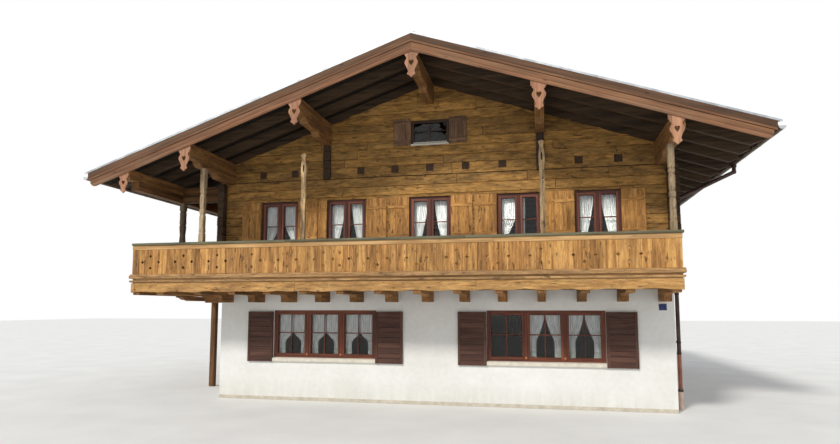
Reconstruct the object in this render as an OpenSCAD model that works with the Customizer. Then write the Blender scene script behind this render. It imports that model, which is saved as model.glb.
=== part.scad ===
// Alpine chalet: a plastered ground storey, a hewn-log upper storey and gable,
// a broad low-pitched roof on carried purlins, and a timber balcony that runs
// across the front and along the left side.
// Millimetres. X to the right, Y to the back, Z up. The front faces -Y, and the
// origin is at the middle of the footprint, on the underside of the plinth.

/* [House] */
// Width across the plastered front
house_w = 11000; // [9000:100:14000]
// Depth from the front wall to the back wall
house_d = 12000; // [9000:100:15000]
// Height of the plinth plate
plinth_h = 80; // [60:10:150]
// Thickness of the plastered walls
masonry_t = 380; // [300:10:500]
// Height of the top of the plastered walls
masonry_top = 2700; // [2600:20:3000]
// Thickness of the log walls
log_t = 170; // [150:10:240]
// How far the side log walls stand out beyond the plaster
log_out = 110; // [0:5:140]
// Thickness of the ground floor slab
ground_floor_t = 100; // [80:10:150]
// Thickness of the upper floor
upper_floor_t = 180; // [120:10:240]
// Height of the groove where the gables start
gable_z = 5542; // [5400:10:5700]
// Height of the undersides of the wall purlins
wall_purlin_z = 5746; // [5720:1:5900]
// Height of one log course
log_h = 222; // [160:2:260]
// Depth of the grooves between the log courses
groove_d = 12; // [6:1:20]
// Spacing of the attic joists
attic_joist_pitch = 885; // [700:5:950]

/* [Roof] */
// Slope of the roof in degrees
roof_pitch = 18.9; // [17:0.1:21]
// Distance of the left eave from the edge of the gallery
eave_out_left = 860; // [700:20:1200]
// Distance of the right eave from the side of the house
eave_out_right = 1520; // [1200:20:1900]
// Overhang in front of the front wall
verge_front = 2170; // [1900:10:2500]
// Overhang behind the back wall
verge_back = 1300; // [1100:20:2000]
// Thickness of battens and tiles together
cover_t = 95; // [70:5:120]
// Thickness of the roof boards
boards_t = 28; // [20:2:40]
// Depth of the rafters
rafter_h = 200; // [160:10:220]
// Width of the rafters
rafter_w = 120; // [80:10:160]
// Widest spacing of the rafters
rafter_pitch = 760; // [600:20:1000]

/* [Purlins and corbels] */
// Distance of the middle purlins from the ridge
mid_purlin = 2664; // [2300:20:3000]
// Distance of the wall purlins' middles behind the faces of the side log walls
wall_purlin_in = 290; // [100:2:320]
// Distance of the gallery purlin's middle inside the edge of the gallery
gallery_purlin_in = 125; // [120:5:250]
// Width of the purlins
purlin_w = 200; // [160:10:240]
// Depth of the purlins
purlin_h = 280; // [220:10:320]
// Depth of the gallery purlin, of the plate under it and of the cross beams
gallery_beam_h = 205; // [160:5:240]
// Depth of the upper corbel logs
corbel_a_h = 130; // [100:10:160]
// Depth of the lower corbel logs
corbel_b_h = 110; // [80:10:140]
// Length of the upper corbel logs at the front
corbel_a_front = 1660; // [1500:20:1800]
// Length of the lower corbel logs at the front
corbel_b_front = 900; // [600:20:1100]
// Length of the upper corbel logs at the back
corbel_a_back = 900; // [600:20:1000]
// Length of the lower corbel logs at the back
corbel_b_back = 500; // [300:20:700]

/* [Verges and gutters] */
// Thickness of the bargeboards
barge_t = 40; // [30:5:60]
// Upright height of the upper bargeboard
barge_upper_h = 212; // [160:5:260]
// Upright height of the lower bargeboard
barge_lower_h = 203; // [160:5:240]
// Step between the faces of the two bargeboards
barge_step = 20; // [10:5:30]
// How far the upper bargeboard runs past the eave, or stops short of it below zero
barge_past = -20; // [-60:2:60]
// How far the lower bargeboard stops short of the upper one
barge_cut = 60; // [0:10:200]
// How far the metal verge strip runs past the eave
flash_past = 62; // [20:2:90]
// Thickness of the metal verge strip
flash_t = 3; // [2:0.5:5]
// Height of the verge strip's front
flash_h = 40; // [30:5:60]
// Width of the verge strip on the roof
flash_w = 130; // [80:5:200]
// Thickness of the carved pendant boards
pendant_t = 35; // [25:5:50]
// Widest width of the pendant boards
pendant_w = 320; // [240:5:360]
// Length of the pendant boards below the lower bargeboard
pendant_l = 555; // [450:5:650]
// Outer diameter of the gutters
gutter_d = 136; // [110:2:160]
// Sheet thickness of the gutters
gutter_t = 4; // [3:0.5:6]
// Diameter of the downpipes
pipe_d = 90; // [80:2:110]
// Outer radius of the ridge tiles
ridge_cap_r = 110; // [100:5:140]
// Wall of the ridge tiles
ridge_cap_t = 15; // [12:1:20]
// Distance of the ridge tiles behind the verge
ridge_cap_setback = 170; // [100:10:300]

/* [Balcony] */
// Depth of the front balcony
balcony_d = 1550; // [1350:10:1700]
// Depth of the gallery along the left side
gallery_d = 1500; // [1400:10:1600]
// How far the balcony stops short of the right corner
balcony_short = 116; // [90:2:200]
// Spacing of the joists
joist_pitch = 877; // [700:1:900]
// Width of the joists
joist_w = 180; // [140:10:200]
// Full depth of the joists at the wall
joist_deep_h = 420; // [300:10:440]
// Depth of the joists at the tip
joist_tip_h = 250; // [120:10:260]
// Bearing of the joists in the plastered wall
joist_bearing = 300; // [200:10:340]
// Thickness of the deck boards
deck_t = 40; // [30:5:50]
// Thickness of the fascia board
fascia_t = 38; // [28:2:50]
// Height of the fascia board
fascia_h = 225; // [160:5:250]
// Thickness of the parapet boards
parapet_t = 28; // [20:2:40]
// Height of the underside of the parapet boards
parapet_z = 3080; // [3060:10:3140]
// Height of the parapet boards
parapet_h = 590; // [500:10:700]
// Height of the rail beam on the parapet boards
rail_h = 100; // [80:5:120]
// Thickness of the handrail cap
cap_t = 58; // [40:2:70]
// Side of the stanchions behind the parapet boards
stanchion_w = 60; // [50:5:80]
// Height of the upper weather ledge
ledge_a_h = 105; // [80:5:120]
// Height of the lower weather ledge
ledge_b_h = 45; // [30:5:60]

/* [Posts] */
// Side of the two carved corner posts
corner_post_w = 130; // [110:5:180]
// Distance of the two slender posts from the middle
slender_x = 2690; // [2600:10:2780]
// Width of the two slender posts at their heads
slender_w = 135; // [110:5:150]
// Thickness of the two slender posts
slender_t = 65; // [50:5:90]
// Height of the knobs of the slender posts
slender_top = 5843; // [5600:10:5900]
// Side of the gallery posts
gallery_post_w = 150; // [120:5:180]
// Number of gallery posts
gallery_posts_n = 5; // [3:1:6]
// Number of posts under the gallery's deck
ground_posts_n = 3; // [2:1:5]

/* [Windows and doors] */
// Width of the three-light windows
triple_w = 2686; // [2400:10:2800]
// Height of the three-light windows
triple_h = 1180; // [1000:10:1300]
// Height of the top of the three-light windows
triple_top = 2222; // [2150:10:2300]
// Distance of the three-light windows from the middle
triple_x = 2692; // [2600:10:2700]
// Width of the upper windows
double_w = 1026; // [900:10:1060]
// Height of the upper windows
double_h = 1200; // [1000:10:1300]
// Height of the top of the upper windows
double_top = 5001; // [4900:10:5100]
// Distance of the inner pair of upper windows from the middle
double_x1 = 2140; // [2100:10:2200]
// Distance of the outer pair of upper windows from the middle
double_x2 = 3938; // [3900:10:4000]
// Width of the attic windows
attic_w = 948; // [800:10:1000]
// Height of the attic windows
attic_h = 600; // [500:10:700]
// Height of the top of the attic windows
attic_top = 6928; // [6850:10:7000]
// Depth of the window frames
frame_t = 90; // [60:5:120]
// Setback of the window frames behind the wall face
frame_setback = 45; // [20:5:80]
// Width of a window frame's outer members
frame_w = 100; // [70:5:120]
// Width of the attic windows' frames
attic_frame_w = 60; // [40:5:100]
// Width of a window frame's posts between lights
mullion_w = 165; // [120:5:200]
// Thickness of the glass units
glass_t = 20; // [16:2:30]
// Height of the sills
sill_h = 95; // [60:5:120]
// Projection of the sills from the wall
sill_out = 60; // [30:5:90]
// Width of the doors
door_w = 980; // [850:10:1100]
// Height of the entrance door
door_h = 2060; // [1950:10:2150]
// Thickness of the doors
door_t = 70; // [50:5:90]
// Thickness of a shutter leaf
shutter_t = 32; // [24:2:44]
// Width of a folded pair of ground floor shutters
ground_shutter_w = 672; // [600:4:690]
// Width of an upper shutter
upper_shutter_w = 530; // [440:10:540]
// Width of an attic shutter
attic_shutter_w = 440; // [340:10:460]

/* [Hidden] */
$fn = 48;

// Small overlap used only by cuts
cut = 1;
// Clearance around a timber or frame that sits in a pocket or opening
fit_gap = 2;
// Hairline joint between two timbers that bear on each other
seat_gap = 0.3;

front_y = -house_d / 2;
back_y = house_d / 2;
side_x = house_w / 2;
log_x = side_x + log_out;
wall_purlin = log_x - wall_purlin_in;
gallery_purlin = side_x + gallery_d - gallery_purlin_in;
eave_left = side_x + gallery_d + eave_out_left;
eave_right = side_x + eave_out_right;
verge_y0 = front_y - verge_front;
verge_y1 = back_y + verge_back;

// The pieces of the roof end behind the upper bargeboards, and the timbers
// and rafters behind the lower ones
cover_y0 = verge_y0 + barge_t;
cover_y1 = verge_y1 - barge_t;
timber_y0 = cover_y0 + barge_step;
timber_y1 = cover_y1 - barge_step;
purlin_y0 = timber_y0 + pendant_t;
purlin_y1 = timber_y1 - pendant_t;

floor_z = masonry_top + upper_floor_t;
joist_z1 = floor_z - deck_t;
joist_z0 = joist_z1 - joist_deep_h;
rail_z = parapet_z + parapet_h;
cap_z = rail_z + rail_h;

purlin_xs = [-wall_purlin, -mid_purlin, 0, mid_purlin, wall_purlin];
pendant_xs = concat([-gallery_purlin], purlin_xs);
// The hand-carved pendants differ in size and aren't all over their purlin's middle
pendant_sizes = [0.8, 0.96, 0.97, 1.04, 1.03, 1];
pendant_shifts = [-45, -35, 0, 0, 0, -55];
joist_n = floor((side_x - joist_w / 2) / joist_pitch);
joist_xs = [for (k = [-joist_n : joist_n]) k * joist_pitch];
gallery_n = floor((back_y - masonry_t - fit_gap - joist_w / 2) / joist_pitch);
gallery_ys = [for (k = [-gallery_n : gallery_n]) k * joist_pitch];
// The attic joists leave out the two places where the partition heads stand
attic_joist_w = 180;
attic_joist_z = gable_z + 95;
attic_joist_n = floor((wall_purlin - purlin_w / 2 - attic_joist_w) / attic_joist_pitch);
attic_joist_xs = [
    for (k = [-attic_joist_n : attic_joist_n])
        if (abs(abs(k * attic_joist_pitch) - mid_purlin) > attic_joist_w) k * attic_joist_pitch
];
attic_floor_t = 28;
partition_head_w = 190;
partition_head_out = 70;
corner_head_out = 200;
log_end_out = 110;

triple_xs = [-triple_x, triple_x];
double_xs = [-double_x2, -double_x1, 0, double_x1, double_x2];
side_triple_xs = [-3300, 3300];
left_triple_xs = [-3300];
side_double_xs = [-4300, -1500, 1500, 4300];
left_double_xs = [-4300, -1500, 4300];
entrance_x = 3300;
gallery_door_x = 1500;
gallery_door_h = double_top - floor_z;

function vert(t) = t / cos(roof_pitch);
// Height of the roof covering at the ridge, over the purlins on the side walls
apex_z = wall_purlin_z + purlin_h + vert(cover_t + boards_t + rafter_h) + wall_purlin * tan(roof_pitch);
function roof_z(x) = apex_z - abs(x) * tan(roof_pitch);
function rafter_bottom(x) = roof_z(x) - vert(cover_t + boards_t + rafter_h);
function corbel_bottom(x) = rafter_bottom(x) - purlin_h - corbel_a_h - corbel_b_h;

// Evenly spaced places from a to b, no further apart than pitch
function spaced(a, b, pitch) =
    let (n = ceil((b - a) / pitch)) [for (i = [0 : n]) a + (b - a) * i / n];

// The first and last rafters stand behind the bargeboards, and one pair closes
// the top of each gable
front_rafter_y = timber_y0 + rafter_w / 2;
back_rafter_y = timber_y1 - rafter_w / 2;
front_gable_y = front_y + log_t / 2;
back_gable_y = back_y - log_t / 2;
rafter_ys = concat(
    spaced(front_rafter_y, front_gable_y, rafter_pitch),
    [for (y = spaced(front_gable_y, back_gable_y, rafter_pitch))
        if (y > front_gable_y && y < back_gable_y) y],
    spaced(back_gable_y, back_rafter_y, rafter_pitch)
);

// Places what is drawn on a wall's own plan: x along the wall, seen from
// outside, and y = 0 on the outer face
module on_front() { translate([0, front_y, 0]) children(); }
module on_back() { rotate([0, 0, 180]) translate([0, -back_y, 0]) children(); }
module on_right(face = side_x) { rotate([0, 0, 90]) translate([0, -face, 0]) children(); }
module on_left(face = side_x) { rotate([0, 0, -90]) translate([0, -face, 0]) children(); }

// Extrudes a drawing of the X-Z plane from y0 back to y1
module along_y(y0, y1) {
    translate([0, y1, 0]) rotate([90, 0, 0]) linear_extrude(y1 - y0) children();
}

// Extrudes a drawing of the Y-Z plane from x0 to x1
module along_x(x0, x1) {
    translate([x0, 0, 0]) rotate([90, 0, 90]) linear_extrude(x1 - x0) children();
}

module block(x0, x1, y0, y1, z0, z1) {
    translate([x0, y0, z0]) cube([x1 - x0, y1 - y0, z1 - z0]);
}

// Opening through a wall of thickness t, centred at x along the wall
module hole(x, w, z0, z1, t) {
    block(x - w / 2, x + w / 2, -cut, t + cut, z0, z1);
}

module triple_holes(xs) {
    for (x = xs)
        hole(x, triple_w + 2 * fit_gap, triple_top - triple_h, triple_top + fit_gap, masonry_t);
}

module double_holes(xs) {
    for (x = xs)
        hole(x, double_w + 2 * fit_gap, double_top - double_h, double_top + fit_gap, log_t);
}

// Foundation and floors
module plinth() {
    color("tan") block(-side_x, side_x, front_y, back_y, 0, plinth_h);
}

module ground_floor() {
    color("gray")
        block(-side_x + masonry_t, side_x - masonry_t, front_y + masonry_t, back_y - masonry_t,
            plinth_h, plinth_h + ground_floor_t);
}

module upper_floor() {
    color("burlywood")
        block(-log_x + log_t, log_x - log_t, front_y + log_t, back_y - log_t,
            masonry_top, floor_z);
}

// Pockets for the joists in the top of a plastered wall
module joist_pockets(xs) {
    for (x = xs)
        block(x - joist_w / 2 - fit_gap, x + joist_w / 2 + fit_gap, -cut,
            joist_bearing + fit_gap, joist_z0, masonry_top + cut);
}

// Plastered walls of the ground storey
module front_wall() {
    color("white") on_front() difference() {
        block(-side_x, side_x, 0, masonry_t, plinth_h, masonry_top);
        triple_holes(triple_xs);
        joist_pockets(joist_xs);
    }
}

module back_wall() {
    color("white") on_back() difference() {
        block(-side_x, side_x, 0, masonry_t, plinth_h, masonry_top);
        triple_holes(triple_xs);
    }
}

module right_wall() {
    color("white") on_right() difference() {
        block(front_y + masonry_t, back_y - masonry_t, 0, masonry_t, plinth_h, masonry_top);
        triple_holes(side_triple_xs);
    }
}

module left_wall() {
    color("white") on_left() difference() {
        block(front_y + masonry_t, back_y - masonry_t, 0, masonry_t, plinth_h, masonry_top);
        triple_holes(left_triple_xs);
        hole(entrance_x, door_w + 2 * fit_gap, plinth_h + ground_floor_t,
            plinth_h + ground_floor_t + door_h + fit_gap, masonry_t);
        joist_pockets(gallery_ys);
    }
}

// Heights of the grooves between the log courses from z0 to z1
function log_lines(z0, z1) = [
    for (k = [-20 : 20])
        let (z = gable_z + k * log_h)
            if (z > z0 + groove_d && z < z1 - groove_d) z
];

// Section through hewn logs from a to b, with a groove at each course on both faces
module log_section(a, b, z0, z1) {
    lines = log_lines(z0, z1);
    polygon(concat(
        [[a, z0]],
        [for (z = lines) for (g = [-1, 0, 1]) [a + (1 - abs(g)) * groove_d, z + g * groove_d]],
        [[a, z1], [b, z1]],
        [for (i = [len(lines) - 1 : -1 : 0]) for (g = [1, 0, -1])
            [b - (1 - abs(g)) * groove_d, lines[i] + g * groove_d]],
        [[b, z0]]
    ));
}

// Log walls of the upper storey
module front_log_wall() {
    color("goldenrod") on_front() difference() {
        union() {
            along_x(-log_x, log_x) log_section(0, log_t, masonry_top, gable_z);
            along_x(-log_x - log_end_out, log_x + log_end_out) log_section(0, log_t, floor_z, gable_z);
        }
        double_holes(double_xs);
    }
}

module back_log_wall() {
    color("goldenrod") on_back() difference() {
        union() {
            along_x(-log_x, log_x) log_section(0, log_t, masonry_top, gable_z);
            along_x(-log_x - log_end_out, log_x + log_end_out) log_section(0, log_t, floor_z, gable_z);
        }
        double_holes(double_xs);
    }
}

// The side log walls stand between the gable walls and reach up to the rafters.
// The wall purlins lie beside them, on the gable walls
module side_log_blank() {
    along_x(front_y + log_t, back_y - log_t)
        log_section(0, log_t, masonry_top, rafter_bottom(log_x) - seat_gap);
}

module right_log_wall() {
    color("goldenrod") on_right(log_x) difference() {
        side_log_blank();
        double_holes(side_double_xs);
    }
}

module left_log_wall() {
    color("goldenrod") on_left(log_x) difference() {
        side_log_blank();
        double_holes(left_double_xs);
        hole(gallery_door_x, door_w + 2 * fit_gap, floor_z, double_top + fit_gap, log_t);
    }
}

// Outline of a purlin's end: a flat underside and a top that follows the rafters
module purlin_outline(x, w, h, gap = 0) {
    x0 = x - w / 2 - gap;
    x1 = x + w / 2 + gap;
    z0 = rafter_bottom(x) - h - gap;
    polygon(concat(
        [[x0, z0], [x1, z0], [x1, rafter_bottom(x1)]],
        x == 0 ? [[0, rafter_bottom(0)]] : [],
        [[x0, rafter_bottom(x0)]]
    ));
}

// Gable over the groove, up to the rafters, with room for purlins and joists
module gable() {
    difference() {
        intersection() {
            along_y(0, log_t) polygon([
                [-log_x, gable_z], [log_x, gable_z], [log_x, rafter_bottom(log_x)],
                [0, rafter_bottom(0)], [-log_x, rafter_bottom(log_x)]
            ]);
            along_x(-log_x, log_x) log_section(0, log_t, gable_z, apex_z);
        }
        for (x = purlin_xs) {
            along_y(-cut, log_t + cut) purlin_outline(x, purlin_w, purlin_h, fit_gap);
            along_y(-cut, log_t + cut) translate([0, cut]) purlin_outline(x, purlin_w, purlin_h, fit_gap);
        }
        for (x = attic_joist_xs)
            block(x - attic_joist_w / 2 - fit_gap, x + attic_joist_w / 2 + fit_gap, -cut, log_t + cut,
                attic_joist_z, attic_joist_z + attic_joist_w + fit_gap);
        hole(0, attic_w + 2 * fit_gap, attic_top - attic_h, attic_top + fit_gap, log_t);
    }
}

module front_gable() { color("peru") on_front() gable(); }
module back_gable() { color("peru") on_back() gable(); }

// Attic joists, whose heads show as dark squares a little inside the gable face
attic_head_in = 15;

module attic_joists() {
    color("saddlebrown") for (x = attic_joist_xs)
        block(x - attic_joist_w / 2, x + attic_joist_w / 2, front_y + attic_head_in,
            back_y - attic_head_in, attic_joist_z, attic_joist_z + attic_joist_w);
}

module attic_floor() {
    z0 = attic_joist_z + attic_joist_w;
    half = wall_purlin - purlin_w / 2;
    color("burlywood") block(-half, half, front_y + log_t, back_y - log_t, z0, z0 + attic_floor_t);
}

// Heads of the partition logs on both gables, and the crossed heads at the corners
module log_head(x, w, out, z0, z1) {
    module head() {
        intersection() {
            along_y(-out, 0) log_section(x - w / 2, x + w / 2, z0, z1);
            along_x(x - w, x + w) log_section(-out, 2 * groove_d, z0, z1);
        }
    }
    on_front() head();
    on_back() head();
}

module log_heads() {
    color("sienna") for (s = [-1, 1]) {
        log_head(s * mid_purlin, partition_head_w, partition_head_out, gable_z, corbel_bottom(mid_purlin));
        log_head(s * (log_x - log_t / 2), log_t, corner_head_out, floor_z, corbel_bottom(wall_purlin));
    }
}

module purlins() {
    color("peru") {
        for (x = purlin_xs)
            along_y(purlin_y0, purlin_y1) purlin_outline(x, purlin_w, purlin_h);
        along_y(purlin_y0, purlin_y1) purlin_outline(-gallery_purlin, purlin_w, gallery_beam_h);
    }
}

// Stepped corbel logs under one purlin, drawn in the Y-Z plane from the wall
// outward, each with a chamfered end
module corbel_outline(z, a, b) {
    polygon([
        [0, z], [0, z - corbel_a_h - corbel_b_h], [-b + corbel_b_h, z - corbel_a_h - corbel_b_h],
        [-b, z - corbel_a_h], [-a + corbel_a_h, z - corbel_a_h], [-a, z - corbel_a_h / 2], [-a, z]
    ]);
}

module corbels() {
    color("peru") for (x = purlin_xs) {
        z = rafter_bottom(x) - purlin_h;
        on_front() along_x(x - purlin_w / 2, x + purlin_w / 2)
            corbel_outline(z, corbel_a_front, corbel_b_front);
        on_back() along_x(x - purlin_w / 2, x + purlin_w / 2)
            corbel_outline(z, corbel_a_back, corbel_b_back);
    }
}

// One slope of a roof layer that starts the upright distance top below the
// covering and is t high; s is -1 for the left slope and 1 for the right one
module half_layer(s, top, t, eave, mitre = 0) {
    polygon([
        [s * mitre, roof_z(mitre) - top], [s * eave, roof_z(eave) - top],
        [s * eave, roof_z(eave) - top - t], [s * mitre, roof_z(mitre) - top - t]
    ]);
}

// Both slopes of a layer, parted by a narrow mitre joint at the ridge
module slopes(top, t, past = 0) {
    half_layer(-1, top, t, eave_left + past, seat_gap);
    half_layer(1, top, t, eave_right + past, seat_gap);
}

// Rafters whose tails are cut on the slant, so that the lower edge stops shorter
rafter_tail = 30;
rafter_cut = 200;
rafter_nose = 60;

module rafter_half(s, eave) {
    top = vert(cover_t + boards_t);
    end = eave - rafter_tail;
    polygon([
        [s * seat_gap, roof_z(seat_gap) - top], [s * end, roof_z(end) - top],
        [s * end, roof_z(end) - top - rafter_nose],
        [s * (end - rafter_cut), rafter_bottom(end - rafter_cut)],
        [s * seat_gap, rafter_bottom(seat_gap)]
    ]);
}

module rafters() {
    color("saddlebrown") for (y = rafter_ys)
        along_y(y - rafter_w / 2, y + rafter_w / 2) {
            rafter_half(-1, eave_left);
            rafter_half(1, eave_right);
        }
}

module roof_boards(s, eave) {
    color("sienna") along_y(cover_y0, cover_y1) half_layer(s, vert(cover_t), vert(boards_t), eave);
}

module roof_boards_left() { roof_boards(-1, eave_left); }
module roof_boards_right() { roof_boards(1, eave_right); }

module roof_tiles(s, eave) {
    color("brown") along_y(cover_y0, cover_y1) half_layer(s, 0, vert(cover_t), eave);
}

module roof_tiles_left() { roof_tiles(-1, eave_left); }
module roof_tiles_right() { roof_tiles(1, eave_right); }

// Half-round ridge tiles; their inner edges lie on the covering
module ridge_tiles() {
    inner = ridge_cap_r - ridge_cap_t;
    color("brown")
        along_y(verge_y0 + ridge_cap_setback, verge_y1 - ridge_cap_setback)
            translate([0, roof_z(inner)]) difference() {
                circle(r = ridge_cap_r);
                circle(r = inner);
                translate([-2 * ridge_cap_r, -2 * ridge_cap_r]) square([4 * ridge_cap_r, 2 * ridge_cap_r]);
            }
}

// Lower board of one slope, with its corner rounded off at the eave
module lower_board(s, end) {
    top = barge_upper_h + seat_gap;
    low = top + barge_lower_h;
    polygon(concat(
        [[s * seat_gap, roof_z(seat_gap) - low], [s * seat_gap, roof_z(seat_gap) - top]],
        [for (a = [0 : 22.5 : 90])
            [s * (end - barge_nose * (1 - cos(a))), roof_z(end - barge_nose * (1 - cos(a)))
                - top - (low - top) * (1 - 0.7 * (1 - sin(a)))]]
    ));
}

// Two stepped bargeboards, the lower one set back and shorter
barge_nose = 140;

module bargeboard_pair() {
    along_y(0, barge_t) slopes(0, barge_upper_h, barge_past);
    along_y(barge_step, barge_step + barge_t) {
        lower_board(-1, eave_left + barge_past - barge_cut);
        lower_board(1, eave_right + barge_past - barge_cut);
    }
}

module bargeboards() {
    color("rosybrown") {
        translate([0, verge_y0, 0]) bargeboard_pair();
        translate([0, verge_y1, 0]) mirror([0, 1, 0]) bargeboard_pair();
    }
}

// Folded metal strip over the covering and the upper bargeboard
module flashing_strip() {
    along_y(-flash_t, flash_w) slopes(-flash_t, flash_t, flash_past);
    along_y(-flash_t, 0) slopes(0, flash_h, flash_past);
}

module verge_flashing() {
    color("gainsboro") {
        translate([0, verge_y0, 0]) flashing_strip();
        translate([0, verge_y1, 0]) mirror([0, 1, 0]) flashing_strip();
    }
}

// Carved pendant board: a wide head, a waist, a bulge, shoulders and a point
module pendant_outline(x, size) {
    half = size * pendant_w / 2;
    l = size * pendant_l;
    top = rafter_bottom(x);
    low = roof_z(x) - barge_upper_h - barge_lower_h;
    difference() {
        translate([x, low]) polygon([
            [-half, top - low + half], [-half, 0], [-half, -0.09 * l], [-0.62 * half, -0.26 * l],
            [-0.86 * half, -0.42 * l], [-0.44 * half, -0.74 * l],
            [-0.54 * half, -0.86 * l], [0, -l],
            [0.54 * half, -0.86 * l], [0.44 * half, -0.74 * l],
            [0.86 * half, -0.42 * l], [0.62 * half, -0.26 * l], [half, -0.09 * l], [half, 0],
            [half, top - low + half]
        ]);
        polygon(concat(
            [[x - 2 * half, rafter_bottom(x - 2 * half)]],
            abs(x) < 2 * half ? [[0, rafter_bottom(0)]] : [],
            [[x + 2 * half, rafter_bottom(x + 2 * half)],
                [x + 2 * half, apex_z], [x - 2 * half, apex_z]]
        ));
    }
}

module pendants() {
    color("rosybrown") for (i = [0 : len(pendant_xs) - 1]) {
        x = pendant_xs[i] + pendant_shifts[i];
        along_y(timber_y0, purlin_y0) pendant_outline(x, pendant_sizes[i]);
        along_y(purlin_y1, timber_y1) pendant_outline(x, pendant_sizes[i]);
    }
}

// Half-round gutters hung from the edge of the roof boards
gutter_drop = 20;

function gutter_x(s) = s * ((s < 0 ? eave_left : eave_right) + gutter_d / 2 + seat_gap);
function gutter_z(s) = roof_z(s < 0 ? eave_left : eave_right) - vert(cover_t) - gutter_drop;

module gutter_profile() {
    difference() {
        circle(d = gutter_d);
        circle(d = gutter_d - 2 * gutter_t);
        translate([-gutter_d, 0]) square([2 * gutter_d, gutter_d]);
    }
}

module gutter(s) {
    y0 = cover_y0;
    y1 = cover_y1;
    translate([gutter_x(s), 0, gutter_z(s)]) difference() {
        union() {
            along_y(y0, y1) gutter_profile();
            for (y = [y0, y1 - gutter_t])
                along_y(y, y + gutter_t) difference() {
                    circle(d = gutter_d);
                    translate([-gutter_d, 0]) square([2 * gutter_d, gutter_d]);
                }
        }
        translate([0, outlet_y(s), -gutter_d]) cylinder(d = pipe_d - 2 * gutter_t, h = gutter_d);
    }
}

module gutters() {
    color("saddlebrown") {
        gutter(-1);
        gutter(1);
    }
}

// Downpipes: the right one crosses back to the front corner, the left one
// stands outside the gallery at the back corner
pipe_wall_gap = 12;
right_pipe = [log_x + pipe_wall_gap + pipe_d / 2, front_y + 530];
left_pipe = [-side_x - gallery_d - 160, back_y - 200];
clamp_h = 30;

function outlet_y(s) = s < 0 ? left_pipe[1] : front_y + 780;

// Straight pipe between two points
module pipe(a, b, d) {
    v = b - a;
    l = norm(v);
    translate(a) rotate([0, acos(v[2] / l), atan2(v[1], v[0])]) cylinder(d = d, h = l);
}

module pipe_run(points, d) {
    for (i = [0 : len(points) - 2]) pipe(points[i], points[i + 1], d);
    for (i = [1 : len(points) - 2]) translate(points[i]) sphere(d = d + elbow_bead);
}

// The elbows are a little wider than the pipe
elbow_bead = 12;
stand_pipe_h = 450;
stand_pipe_d = pipe_d + 20;
swan_z = 4760;
outlet_h = 220;

module downpipe(s, foot) {
    x = gutter_x(s);
    y = outlet_y(s);
    z = gutter_z(s);
    difference() {
        pipe_run([
            [x, y, z], [x, y, z - outlet_h], [foot[0], foot[1], swan_z], [foot[0], foot[1], plinth_h]
        ], pipe_d);
        translate([x, 0, z]) along_y(y - pipe_d, y + pipe_d) circle(d = gutter_d + 2 * seat_gap);
    }
    translate([foot[0], foot[1], 0]) cylinder(d = stand_pipe_d, h = stand_pipe_h);
}

module downpipes() {
    color("saddlebrown") {
        downpipe(1, right_pipe);
        downpipe(-1, left_pipe);
        // Clamps back to the wall and to the rail of the gallery
        for (z = [1500, 3900])
            block(z < masonry_top ? side_x : log_x, right_pipe[0], right_pipe[1] - 10,
                right_pipe[1] + 10, z, z + clamp_h);
        block(left_pipe[0], gallery_x - rail_out, left_pipe[1] - 10, left_pipe[1] + 10,
            rail_z + clamp_h, rail_z + 2 * clamp_h);
    }
}

// Outer planes of the parapet: along the gallery, along the front, at the right
// end and at the back end
gallery_x = -side_x - gallery_d;
balcony_y = front_y - balcony_d;
balcony_x = side_x - balcony_short;
balcony_end_y = back_y + 40;

// A band along the balcony's outer edge, from out beyond the parapet's face to
// inn behind it, in straight runs: front, gallery, right end and back end. The
// two end runs are no deeper than the parapet and reach to end_y and end_x
module balcony_band(out, inn, z0, z1, end_y = front_y, end_x = -log_x) {
    depth = min(inn, end_in);
    block(gallery_x - out, balcony_x + out, balcony_y - out, balcony_y + inn, z0, z1);
    block(gallery_x - out, gallery_x + inn, balcony_y + inn + seat_gap,
        balcony_end_y - depth - seat_gap, z0, z1);
    block(balcony_x - depth, balcony_x + out, balcony_y + inn + seat_gap, end_y, z0, z1);
    block(gallery_x - out, end_x, balcony_end_y - depth, balcony_end_y + out, z0, z1);
}

end_in = parapet_t;
fascia_out = 10;
fascia_in = fascia_t - fascia_out;
fascia_drop = 12;

module balcony_fascia() {
    z1 = floor_z - fascia_drop;
    color("peru") balcony_band(fascia_out, fascia_in, z1 - fascia_h, z1);
}

module balcony_deck() {
    color("burlywood") {
        block(gallery_x + fascia_in, balcony_x - fascia_in, balcony_y + fascia_in, front_y,
            joist_z1, floor_z);
        block(gallery_x + fascia_in, -log_x, front_y + seat_gap, balcony_end_y - fascia_in,
            joist_z1, floor_z);
    }
}

// Side view of a joist from its bearing in the wall to the fascia: deep near the
// wall, then a carved step up to a thinner tip. The wall above stands out by over
module joist_outline(reach, deep, rise, over = 0) {
    z0 = joist_z0;
    z1 = joist_z1 - joist_tip_h;
    polygon([
        [joist_bearing, z0], [joist_bearing, masonry_top], [-over, masonry_top], [-over, joist_z1],
        [-reach, joist_z1], [-reach, z1], [-deep - rise, z1], [-deep - 0.4 * rise, z1 - 0.1 * (z1 - z0)],
        [-deep, z1 - 0.35 * (z1 - z0)], [-deep, z0]
    ]);
}

front_reach = balcony_d - fascia_in;
gallery_reach = gallery_d - fascia_in;
// Shares of a joist's reach that are full depth, and that rise to the thin tip
joist_flat = 0.37;
joist_rise = 0.05;
gallery_joist_flat = 0.61;
gallery_joist_rise = 0.1;

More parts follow.
